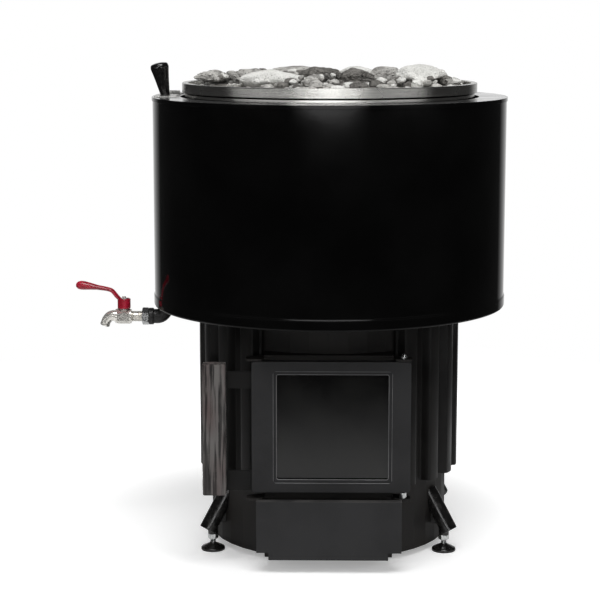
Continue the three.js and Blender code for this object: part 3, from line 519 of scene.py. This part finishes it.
# Water tank: a drum of 2 mm sheet with a rolled seam at its foot, an inner wall and a floor.
# Gloss enamel is sprayed on, a black mirror with the faint ripple that such a coat dries with.
tank_enamel, tree, shader = new_material("black_gloss_enamel", IOR=1.5, Specular_IOR_Level=0.14)
ripple = speckle(tree, 9, detail=2)
dust = speckle(tree, 120, detail=5)
coat(tree, shader, (dust, "#040404", "#080808"), (dust, 0.05, 0.09), (ripple, 0.03, 0.12))
drum_r, seam_r, drum_sheet = 320.0, 321.4, 2
drum_low, drum_high = tank_bottom[2] * 1000, tank_top[2] * 1000
drum_mm = eased([[drum_r - drum_sheet, drum_low], [drum_r + 0.3, drum_low], [seam_r, drum_low + 2.4],
                 [seam_r, drum_low + 18.5], [drum_r, drum_low + 20.4], [drum_r, drum_low + 60],
                 [drum_r, drum_high], [drum_r - drum_sheet, drum_high]],
                [0.3, 1.0, 1.4, 1.4, 1.4, 0.01, 0.4, 0.3], 6)
turned_piece("tank_drum", drum_mm, 192, tank_enamel, "stove", ["tank_shell"])
dress(tank_enamel, "tank_floor", "tank_inner_wall")

# Tank top: a flat ring with a mouth for filling, and a flange turned down over the drum.
# The flange is enamelled like the drum; the ring is rougher, and its grey is a painted reflection of the pale
# backdrop.
plate_low, plate_high = (corner[2] * 1000 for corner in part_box("tank_top_plate"))
plate_in, flange_in, flange_out, plate_sheet = 270.0, 320.4, 321.5, 2
flange_mm = eased([[flange_in, plate_low], [flange_out, plate_low],
                   [flange_out, plate_high], [flange_in, plate_high]], [0.3, 0.3, 1.0, 0.01], 6)
turned_piece("tank_top_flange", flange_mm, 192, tank_enamel, "stove", ["tank_top_plate"])
# Its pale grey is a painted reflection of the backdrop at a grazing angle, and a rougher coat blurs its
# mirror.
enamel_painted_reflection = clouded("enamel_grey_painted_reflection", 35, 5, ("#2e2e2e", "#464646"), (0.1, 0.18),
                      IOR=1.5, Specular_IOR_Level=0.6)


def ring_sector(inner, outer, start, end, steps):
    """A flat bar bent to part of a ring, with eased arrises and both ends closed by a fan."""
    under = plate_high - plate_sheet
    corners = [[inner, under], [inner, plate_high], [outer, plate_high], [outer, under]]
    profile = eased(corners, 0.3, 5) / 1000
    angle = np.radians(np.linspace(start, end, steps))[:, None]
    return fanned(np.stack([axis_x + profile[:, 0] * np.cos(angle), axis_y + profile[:, 0] * np.sin(angle),
                            np.broadcast_to(profile[:, 1], (steps, len(profile)))], -1))


mouth_in, mouth_out, mouth_from, mouth_to = 281.0, 313.0, 172.0, 188.0
strips = {"ring": (plate_in, flange_in, mouth_to, mouth_from + 360, 184),
          "outer_strip": (mouth_out, flange_in, mouth_from, mouth_to, 12),
          "inner_strip": (plate_in, mouth_in, mouth_from, mouth_to, 12)}
for name, limits in strips.items():
    grid_piece(f"tank_top_{name}", ring_sector(*limits), enamel_painted_reflection, "stove", loop=False)

# Filler lid and its hinge: a small stainless sector over the mouth; its black moulded grip is fluted,
# swells towards a domed head and leans outwards over the drum's edge.
# Satin stainless is bright but blurred, by scuffs that are drawn coarser than real, so that they show.
lid_steel, tree, shader = new_material("satin_stainless_lid", Metallic=1.0)
scuffs = speckle(tree, 3, (1, 12, 1), detail=4)
coat(tree, shader, (scuffs, "#b0afac", "#d6d5d1"), (scuffs, 0.24, 0.36))
dress(lid_steel, "filler_lid", "lid_hinge_leaf", bevel_mm=0.4)
# Moulded resin comes out of a polished tool with a sharp gloss over its black.
resin = clouded("black_moulded_phenolic", 6, 3, ("#090909", "#141313"), (0.13, 0.16),
                IOR=1.55, Coat_Weight=0.4, Coat_Roughness=0.05)
grip_r, grip_rise, grip_lean, grip_flutes, flute_depth = 298, 7.5, math.radians(-11), 8, 0.09
grip_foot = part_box("filler_lid")[0][2] * 1000 + grip_rise
grip_place = np.array([axis_x * 1000 - grip_r, axis_y * 1000, grip_foot])


def fluted_grip(segments):
    """A turned outline scaled at each angle by a row of cosine flutes that fade at both ends, leaned outwards
    and cut level at its foot."""
    corners = [[0, -3], [8.6, -3], [8.6, 2], [10, 10], [12.6, 27], [15.6, 43], [17.3, 50.5], [15.4, 56.6],
               [7, 58.9], [0, 59.2]]
    profile = eased(corners, [0.01, 0.6, 2, 6, 8, 6, 3.5, 3.5, 4, 0.01], 7)
    angle = np.linspace(0, 2 * np.pi, segments, endpoint=False)[:, None]
    r, z = profile[:, 0], profile[:, 1]
    flutes_low, flutes_high, fade_mm = 3, 56, 8
    fade = np.clip((z - flutes_low) / fade_mm, 0, 1) * np.clip((flutes_high - z) / fade_mm, 0, 1)
    scale = 1 - flute_depth * fade * (0.5 + 0.5 * np.cos(grip_flutes * angle)) ** 2
    x, y = r * scale * np.cos(angle), r * scale * np.sin(angle)
    along, aside = math.cos(grip_lean), math.sin(grip_lean)
    tipped = np.stack([x * along + z * aside, y, np.maximum(z * along - x * aside, 0)], -1)
    return (tipped + grip_place) / 1000


grid_piece("fluted_lid_grip", fluted_grip(128), resin, "tank_lid", ["lid_grip"])

# Tap fittings: a black malleable elbow under the tank, a zinc lock nut, a nipple and a nickel ball valve.
# The elbow is cast with thick beads at its mouths; the valve's hexagon is turned at both ends.
tap_z, stem_x = 409.0, -379.0
drop_x, bend_r, elbow_end, valve_from, valve_to = -302.0, 16.0, -333.0, -365.3, -391.0
tap_origin = np.array([axis_x * 1000, axis_y * 1000, 0])
# Malleable iron keeps the grain of the sand under its black varnish.
iron = clouded("black_malleable_iron", 2.2, 4, ("#111111", "#242322"), (0.36, 0.55), (0.2, 0.4),
               IOR=1.5, Metallic=0.1)
# Nickel plate is a warm bright mirror with hardly a cloud.
nickel = clouded("nickel_plated_brass", 6, 2, ("#ece9e2", "#f4f1ea"), (0.19, 0.24), (0.01, 0.1),
                 Metallic=0.75)


def on_tap(path_xz):
    """Points of the plane through the tap's axis, from [distance from the stove's axis, height] pairs."""
    flat = np.asarray(path_xz, float)
    return tap_origin + np.stack([flat[:, 0], 0 * flat[:, 0], flat[:, 1]], -1)


def lying(points_mm, x):
    """Turns a piece made upright so that it lies along the tap's axis, its foot at x, running outwards."""
    flat = np.stack([x - points_mm[..., 2], points_mm[..., 1], points_mm[..., 0] + tap_z], -1)
    return (flat + tap_origin) / 1000


bend = np.linspace(0, np.pi / 2, 12)
elbow_path = np.concatenate([
    [[drop_x, z] for z in (438.2, 438.2, 437.4, 431, 430, 427)],
    np.stack([drop_x - bend_r * (1 - np.cos(bend)), tap_z + bend_r * (1 - np.sin(bend))], -1),
    [[x, tap_z] for x in (-323.5, -324.5, -325.4, -332.2, elbow_end, elbow_end)]])
elbow_radii = [0, 14.7, 15.5, 15.5, 14.6, 13.2, *np.full(12, 13.4), 13.2, 14.8, 15.5, 15.5, 14.8, 0]
grid_piece("tap_elbow_casting", carried(on_tap(elbow_path), elbow_radii, 48), iron, "stove",
           ["tap_elbow"], loop=False, sharp=60)
grid_piece("tap_lock_nut_hex", lying(hexagonal(28, 0.3, 12, 10.1), elbow_end), zinc, "stove",
           ["tap_lock_nut"], sharp=20)
nipple_mm = np.concatenate([[[0, 0], [9.3, 0]], threaded(9.9, 12, 32, 1.8, 0.7), [[9.3, 38], [0, 38]]])
nipple = revolved(nipple_mm, 48, (0, 0))[0]
grid_piece("tap_nipple_bar", lying(nipple * 1000, elbow_end), nickel, "stove", ["tap_nipple"])
grid_piece("tap_valve_hex", lying(hexagonal(25, 2.5, 27, 0.0), valve_from), nickel, "stove",
           ["tap_body"], sharp=20)
collar_mm = eased([[0, 0], [13.2, 0], [13.2, 4], [0, 4]], [0.01, 1, 1, 0.01], 5)
collar, uv = revolved(collar_mm, 48, (0, 0))
for name, x in (("inner", valve_from), ("outer", valve_to)):
    grid_piece(f"tap_valve_collar_{name}", lying(collar * 1000, x), nickel, "stove", uv=uv)


def smooth_through(knots, count):
    """Points on a cubic through evenly spaced knots, with slopes from their neighbours (Hermite form)."""
    knots = np.asarray(knots, float)
    slope = np.gradient(knots, axis=0)
    place = np.linspace(0, len(knots) - 1 - 1e-9, count)
    k = place.astype(int)
    t = (place - k)[:, None]
    return ((2 * t ** 3 - 3 * t ** 2 + 1) * knots[k] + (t ** 3 - 2 * t ** 2 + t) * slope[k]
            + (3 * t ** 2 - 2 * t ** 3) * knots[k + 1] + (t ** 3 - t ** 2) * slope[k + 1])


spout_bend = smooth_through([[-393, 409], [-399, 410], [-406, 408], [-412, 401], [-415.5, 391.6]], 24)
# The wall turns in at the mouth and goes back up the bore to this point of the bend.
bore_from = 18
spout_path = np.concatenate([spout_bend[:1], spout_bend, spout_bend[-1:],
                             spout_bend[bore_from:][::-1], spout_bend[bore_from:bore_from + 1]])
spout_radii = [0, *np.linspace(10.6, 8.6, 21), 8.9, 9.0, 8.6, 6.9, 6.4, 6.2, 6, 6, 6, 6, 0]
grid_piece("tap_spout", carried(on_tap(spout_path), spout_radii, 40), nickel, "stove",
           loop=False)
stem_place = tap_origin + np.array([stem_x, 0, 0])
gland = (hexagonal(15, 419, 431, 4.0) + stem_place) / 1000
grid_piece("tap_gland_nut", gland, nickel, "stove", sharp=20)
dress(nickel, "tap_stem")

# Tap lever: pressed steel strip, dipped in red vinyl; it rises from the hub, bends and ends in a fat grip.
# Vinyl drains to a thick soft skin, glossy on the bends and a little cloudy.
vinyl = clouded("red_dipped_vinyl", 14, 1, ("#8e0a20", "#b01632"), (0.25, 0.38), (0.08, 0.2),
                IOR=1.5, Coat_Weight=0.3, Coat_Roughness=0.12)
lever_knots = [[-383, 437], [-392, 446], [-397.5, 453], [-402, 457], [-410, 459.6], [-426, 462.3],
               [-442, 464.8], [-454, 466.3], [-461, 466.5], [-467.8, 466.5]]
lever_path = smooth_through(lever_knots, 110)
reach = -lever_path[:, 0]
stations = [383, 392, 410, 428, 442, 452, 458, 462, 464.6, 466.4, 467.4, 467.8]
half_thick = np.interp(reach, stations, [3.2, 3.8, 3.9, 4.6, 6.6, 8.1, 8.2, 7.4, 6.0, 4.2, 2.3, 0])
half_wide = np.interp(reach, stations, [8.0, 7.4, 6.0, 6.2, 7.4, 8.3, 8.2, 7.4, 6.0, 4.2, 2.3, 0])
widen = half_wide / np.maximum(half_thick, 1e-6)
lever = carried(on_tap(lever_path), half_thick, 36)
lever[..., 1] = axis_y + (lever[..., 1] - axis_y) * widen[:, None]
grid_piece("tap_lever_strip", fanned(lever), vinyl, "tap_handle", ["tap_lever"],
           loop=False, sharp=60)
hub_mm = eased([[9.6, 424], [12, 424], [12, 442], [9, 442], [9, 437], [4.2, 437], [4.2, 432], [9.6, 432]],
               [0.5, 0.8, 1.4, 0.5, 0.3, 0.3, 0.3, 0.3], 5)
turned_piece("tap_lever_hub", hub_mm, 48, vinyl, "tap_handle", (), stem_place[:2] / 1000)
lever_nut = (hexagonal(12, 437.3, 443, 3.7) + stem_place) / 1000
grid_piece("tap_lever_nut_hex", lever_nut, zinc, "tap_handle", ["tap_lever_nut"], sharp=20)

# Stone basin and rim: a pot of stainless sheet hung in the tank's bore, and a band folded over its edge that
# stands clear of the tank top so air can rise. Both are brushed along their turn and catch the light in
# front; a black ring in the joint under the band is painted shadow for the gap there.


def brushed_steel(name, dark, pale, smooth, rough):
    """Brushed stainless: streaks eighty times longer along the turn than across it, so the light is drawn out
    across them. They are drawn coarser than the real hairs, so that they show."""
    material, tree, shader = new_material(name, Metallic=1.0)
    hairs = speckle(tree, 0.9, (0.012, 1, 1), "UV", 4, 0.25, 0.75)
    smears = speckle(tree, 90, detail=4)
    coat(tree, shader, (hairs, dark, pale), (smears, smooth, rough), (hairs, 0.05, 0.2))
    return material


basin_r, neck_r, basin_in, rim_r, rim_in, lip_in, fold_r = 262, 260, 259, 266.5, 262.4, 256, 258.6
basin_low, basin_high = (corner[2] * 1000 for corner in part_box("stone_pan"))
rim_low, rim_high = (corner[2] * 1000 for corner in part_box("stone_rim"))
groove = rim_low - 2.6
basin_floor = basin_low + 3
basin_mm = eased([[0, basin_low], [basin_r, basin_low], [basin_r, groove], [neck_r, groove],
                  [neck_r, basin_high], [basin_in, basin_high], [basin_in, basin_floor], [0, basin_floor]],
                 [0.01, 6, 0.4, 0.3, 0.3, 0.3, 4, 0.01], 6)
basin_steel = brushed_steel("brushed_stainless_basin", "#b4b3b0", "#d6d5d1", 0.17, 0.26)
turned_piece("stone_basin", basin_mm, 192, basin_steel, "stove", ["stone_pan"])
lip_low, fold_low = rim_high - 9, rim_high - 2
rim_mm = eased([[rim_in, rim_low], [rim_r, rim_low], [rim_r, rim_high], [lip_in, rim_high],
                [lip_in, lip_low], [fold_r, lip_low], [fold_r, fold_low], [rim_in, fold_low]],
               [0.4, 0.6, 1.6, 1.4, 0.5, 0.4, 0.4, 0.4], 6)
rim_steel = brushed_steel("brushed_stainless_rim", "#a9a8a5", "#d6d5d1", 0.21, 0.3)
turned_piece("stone_rim_band", rim_mm, 192, rim_steel, "stove", ["stone_rim"])
# A black ring in the gap under the band: painted shadow, drawn with the drum's enamel.
shadow_ring_in, shadow_ring_out, shadow_ring_low, shadow_ring_high = neck_r + 0.1, basin_r - 0.2, groove + 0.1, rim_low - 0.1
shadow_ring_mm = eased([[shadow_ring_in, shadow_ring_low], [shadow_ring_out, shadow_ring_low],
                  [shadow_ring_out, shadow_ring_high], [shadow_ring_in, shadow_ring_high]], 0.3, 4)
turned_piece("rim_painted_shadow_ring", shadow_ring_mm, 192, tank_enamel, "stove")

# Sauna stones: split and tumbled olivine and gabbro, heaped in the basin above its rim.
# Some are pale and worn smooth, others dark, fresh and rough.


def rock(name, dark, pale, spot, grain_mm, rough_mm):
    """Crystalline rock: a cloudy ground with crystal grains and darker spots over it, dry and rough to the
    eye by a bump of the grain."""
    material, tree, shader = new_material(name, IOR=1.55, Specular_IOR_Level=0.3)
    clouds = speckle(tree, 45, detail=6, low=0.3, high=0.7)
    grains = speckle(tree, grain_mm, detail=5, low=0.3, high=0.7)
    spots = speckle(tree, grain_mm * 0.7, detail=2, low=0.6, high=0.7)
    mixed = add_node(tree, "ShaderNodeMath", {"operation": "MULTIPLY_ADD"},
                     {0: grains, 1: 0.5, 2: clouds}).outputs[0]
    share = add_node(tree, "ShaderNodeMapRange", inputs={"Value": mixed, "To Max": 0.7}).outputs[0]
    ground = add_node(tree, "ShaderNodeMix", {"data_type": "RGBA"},
                      {0: share, 6: linear(dark), 7: linear(pale)})
    coat(tree, shader, (spots, ground.outputs[2], spot), (grains, 0.72, 0.95), (mixed, rough_mm, 0.7))
    return material


pale_rock = rock("pale_worn_olivine", "#b6b6b2", "#eeede9", "#7a7974", 3.2, 1.2)
grey_rock = rock("grey_split_gabbro", "#34322f", "#d8d6d1", "#1c1b1a", 6.5, 3.4)
dark_rock = rock("dark_rough_gabbro", "#151413", "#8e8b86", "#0c0c0c", 7.0, 4.2)


def split_stone(dice, rows, columns, cuts, ripple, grit):
    """A unit stone: the radius at each direction is the soft least distance to a few random planes and a
    round limit, plus low ripples made of sines of the direction and a random grit at every point."""
    crisp, round_limit, least_facing = 30, 1.12, 0.05
    wave_pace = np.linspace(3, 13, 10)
    up = np.linspace(0, np.pi, rows)[:, None]
    turn = np.linspace(0, 2 * np.pi, columns, endpoint=False)[None]
    way = np.stack([np.sin(up) * np.cos(turn), np.sin(up) * np.sin(turn), np.cos(up) + 0 * turn], -1)
    normal = dice.normal(size=(cuts, 3))
    normal /= np.linalg.norm(normal, axis=1, keepdims=True)
    reach = dice.uniform(0.72, 1.0, cuts)
    facing = np.clip(way @ normal.T, least_facing, None)
    radius = -np.log(np.exp(-crisp * reach / facing).sum(-1) + np.exp(-crisp * round_limit)) / crisp
    waves = dice.normal(size=(len(wave_pace), 3)) * wave_pace[:, None]
    phase = dice.uniform(0, 2 * np.pi, len(wave_pace))
    height = np.sin(way @ waves.T + phase) / wave_pace
    radius = radius + ripple * height.sum(-1) + grit * dice.normal(size=radius.shape) * np.sin(up)
    radius[[0, -1]] = radius[[1, -2]].mean(1, keepdims=True)
    return way * radius[..., None]


def fitted(points, bottom, top):
    """Moves and scales a stone so that it just fills a box."""
    floor, ceiling = points.reshape(-1, 3).min(0), points.reshape(-1, 3).max(0)
    return bottom + (points - floor) / (ceiling - floor) * (top - bottom)


dice = np.random.default_rng(41)
stone_finish = [(grey_rock, 17, 0.14, 0.03), (grey_rock, 16, 0.12, 0.026), (pale_rock, 8, 0.04, 0.007),
                (dark_rock, 17, 0.14, 0.032), (dark_rock, 16, 0.14, 0.032), (grey_rock, 16, 0.12, 0.028),
                (pale_rock, 11, 0.08, 0.016), (grey_rock, 14, 0.1, 0.02), (pale_rock, 10, 0.07, 0.012)]
for k, (finish, cuts, ripple, grit) in enumerate(stone_finish, 1):
    bottom, top = (np.array(corner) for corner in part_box(f"top_stone_{k}"))
    shape = fitted(split_stone(dice, 64, 96, cuts, ripple, grit), bottom, top)
    grid_piece(f"heap_stone_{k}", shape, finish, "stove", [f"top_stone_{k}"],
               loop=False, sharp=24)

# Bed of stones: the fill under the heap, and on it broken pieces up to the size of a walnut.
# The pieces lie in a sunflower spiral: equal turns of the golden angle, the radius by the root of the count.
dress(dark_rock, "stone_bed")
piece_count, spiral_r, wall_r, level_r, bed_foot, heap_top = 640, 252, 253, 235, 700, 862.0
# To the left of the heap the pieces are smaller, by these shares at these distances from the axis.
smaller_at, smaller_by = [-0.16, -0.06], [0.62, 1.0]
golden_turn = math.pi * (3 - math.sqrt(5))
bed_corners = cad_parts["stone_bed"].data.vertices
bed_points = np.empty(3 * len(bed_corners))
bed_corners.foreach_get("co", bed_points)
bed_points = bed_points.reshape(-1, 3) * 1000
bed_points = bed_points[bed_points[:, 2] > bed_foot]
rocks = {"pale": pale_rock, "grey": grey_rock, "dark": dark_rock}
broken = {word: [] for word in rocks}
for k in range(piece_count):
    half = np.array([dice.uniform(13, 22), dice.uniform(12, 19), dice.uniform(9, 14)])
    half *= dice.uniform(0.4, 0.85)
    radius = min(spiral_r * math.sqrt((k + 0.5) / piece_count), wall_r - half[:2].max())
    angle = k * golden_turn
    spot = np.array([axis_x * 1000 + radius * math.cos(angle), axis_y * 1000 + radius * math.sin(angle)])
    half *= np.interp(spot[0] / 1000 - axis_x, smaller_at, smaller_by)
    near = np.argmin(np.linalg.norm(bed_points[:, :2] - spot, axis=1))
    lift = dice.choice([0, 0, 9, 16]) if radius < level_r else 0
    middle = np.array([*spot, bed_points[near, 2] + lift - dice.uniform(0.05, 0.4) * half[2]])
    middle[2] = min(middle[2], heap_top - half[2])
    word = dice.choice(list(rocks), p=[0.45, 0.3, 0.25])
    stone = fitted(split_stone(dice, 16, 24, 12, 0.1, 0.045), middle - half, middle + half)
    broken[word].append(stone / 1000)
for word, finish in rocks.items():
    grid_piece(f"broken_stones_{word}", np.stack(broken[word]), finish, "stove",
               loop=False, sharp=28, merge=1e-7)

# Studio: a disc of white paper on the floor of a dim room, with soft lamps in front, at the sides and behind.
# The room is dark in front, so the black gloss stays black; the backdrop behind is white to the camera,
# through glass and in mirrors that look straight back at it.


def seen(tree):
    """1 for rays from the camera, straight or through glass, and 0 for the others."""
    ray = add_node(tree, "ShaderNodeLightPath").outputs
    return add_node(tree, "ShaderNodeMath", {"operation": "MAXIMUM"},
                    {0: ray["Is Camera Ray"], 1: ray["Is Transmission Ray"]}).outputs[0]


# Matt paper: away from the stove it goes grey, to throw less light up, and glows white to whoever looks at it.
white, tree, shader = new_material("white_studio_paper", Roughness=0.9, Specular_IOR_Level=0.1,
                                   Emission_Color=linear("#ffffff"))
place = add_node(tree, "ShaderNodeTexCoord").outputs["Object"]
away = add_node(tree, "ShaderNodeVectorMath", {"operation": "LENGTH"}, {0: place}).outputs["Value"]
dulled = add_node(tree, "ShaderNodeMapRange", {"interpolation_type": "SMOOTHSTEP"},
                  {"Value": away, "From Min": 0.6, "From Max": 1.8}).outputs[0]
lifted = add_node(tree, "ShaderNodeMapRange", {"interpolation_type": "SMOOTHSTEP"},
                  {"Value": away, "From Min": 0.3, "From Max": 0.9, "To Min": 0.3}).outputs[0]
sheet = add_node(tree, "ShaderNodeMix", {"data_type": "RGBA"},
                 {0: dulled, 6: linear("#f4f4f4"), 7: linear("#3c3c3c")})
tree.links.new(sheet.outputs[2], shader.inputs["Base Color"])
glow = add_node(tree, "ShaderNodeMath", {"operation": "MULTIPLY"}, {0: lifted, 1: seen(tree)}).outputs[0]
tree.links.new(glow, shader.inputs["Emission Strength"])


def paper_disc(radius, rings, segments):
    """Points of a flat disc on the floor, in rings about the origin."""
    r = np.linspace(0, radius, rings)[:, None]
    angle = np.linspace(0, 2 * np.pi, segments, endpoint=False)
    return np.stack([r * np.cos(angle), r * np.sin(angle), np.zeros((rings, segments))], -1)


disc = paper_disc(1.8, 3, 96)
mesh = bpy.data.meshes.new("paper_disc")
mesh.from_pydata(disc.reshape(-1, 3).tolist(), [], grid_faces(disc.shape[:-1], loop=False))
mesh.materials.append(white)
floor = bpy.data.objects.new("paper_disc", mesh)
bpy.context.scene.collection.objects.link(floor)

room_level, mirrored_room, backdrop_from = 0.16, 0.035, 0.8
world = bpy.data.worlds.new("studio")
world.use_nodes = True
tree = world.node_tree
tree.nodes.clear()
glossy = add_node(tree, "ShaderNodeLightPath").outputs["Is Glossy Ray"]
towards = add_node(tree, "ShaderNodeTexCoord").outputs["Generated"]
behind = add_node(tree, "ShaderNodeSeparateXYZ", inputs={0: towards}).outputs["Y"]
mirrored = add_node(tree, "ShaderNodeMapRange", inputs={
    "Value": behind, "From Min": backdrop_from, "To Min": mirrored_room}).outputs[0]
dim = add_node(tree, "ShaderNodeMix", {"data_type": "FLOAT"}, {0: glossy, 2: room_level, 3: mirrored})
level = add_node(tree, "ShaderNodeMix", {"data_type": "FLOAT"}, {0: seen(tree), 2: dim.outputs[0], 3: 1.0})
sky = add_node(tree, "ShaderNodeBackground", inputs={"Color": linear("#ffffff"), "Strength": level.outputs[0]})
add_node(tree, "ShaderNodeOutputWorld", inputs={"Surface": sky.outputs[0]})
bpy.context.scene.world = world


lamp_aim = np.array([axis_x, axis_y, 0.45])


def soft_lamp(name, place, size, watts, mirrored=True, matte=True):
    """An oval soft box at place that looks at the stove. One that isn't mirrored leaves no streak on gloss,
    and one that isn't matte shows in gloss alone."""
    data = bpy.data.lights.new(name, "AREA")
    data.shape = "ELLIPSE"
    data.size, data.size_y = size
    data.energy = watts
    lamp = bpy.data.objects.new(name, data)
    away = np.array(place) - lamp_aim
    yaw = math.atan2(away[0], -away[1])
    lamp.location = place
    lamp.rotation_euler = (math.atan2(math.hypot(away[0], away[1]), away[2]), 0, yaw)
    lamp.visible_glossy, lamp.visible_diffuse = mirrored, matte
    bpy.context.scene.collection.objects.link(lamp)


soft_lamp("high_front", (axis_x, -1.8, 3.2), (2.6, 1.6), 80)
soft_lamp("low_front", (axis_x, -4.2, 0.7), (3.8, 0.3), 12)
soft_lamp("mid_front", (axis_x, -4.2, 1.04), (5.4, 0.24), 12, matte=False)
soft_lamp("left_wing", (axis_x - 3.3, -2.8, 0.78), (4.8, 0.3), 5.5)
soft_lamp("right_wing", (axis_x + 3.3, -2.8, 0.78), (4.8, 0.3), 5.5)
soft_lamp("left", (axis_x - 2.6, -2.0, 1.8), (1.2, 1.6), 14, mirrored=False)
soft_lamp("right", (axis_x + 2.6, -1.8, 1.8), (1.2, 1.6), 18, mirrored=False)
soft_lamp("back", (axis_x, 2.2, 3.0), (2.6, 1.4), 40, mirrored=False)

# A long lens from in front, a little above the rim and looking slightly down.
camera_away, camera_up, look_down, look_left = 3.254, 0.9745, math.radians(9.33), math.radians(0.94)
camera_data = bpy.data.cameras.new("camera")
camera_data.sensor_width = 36
camera_data.lens = 107.1
camera = bpy.data.objects.new("camera", camera_data)
camera.location = (axis_x, -camera_away, camera_up)
camera.rotation_euler = (math.pi / 2 - look_down, 0, look_left)
bpy.context.scene.collection.objects.link(camera)
bpy.context.scene.camera = camera
bpy.context.scene.view_settings.view_transform = "Standard"
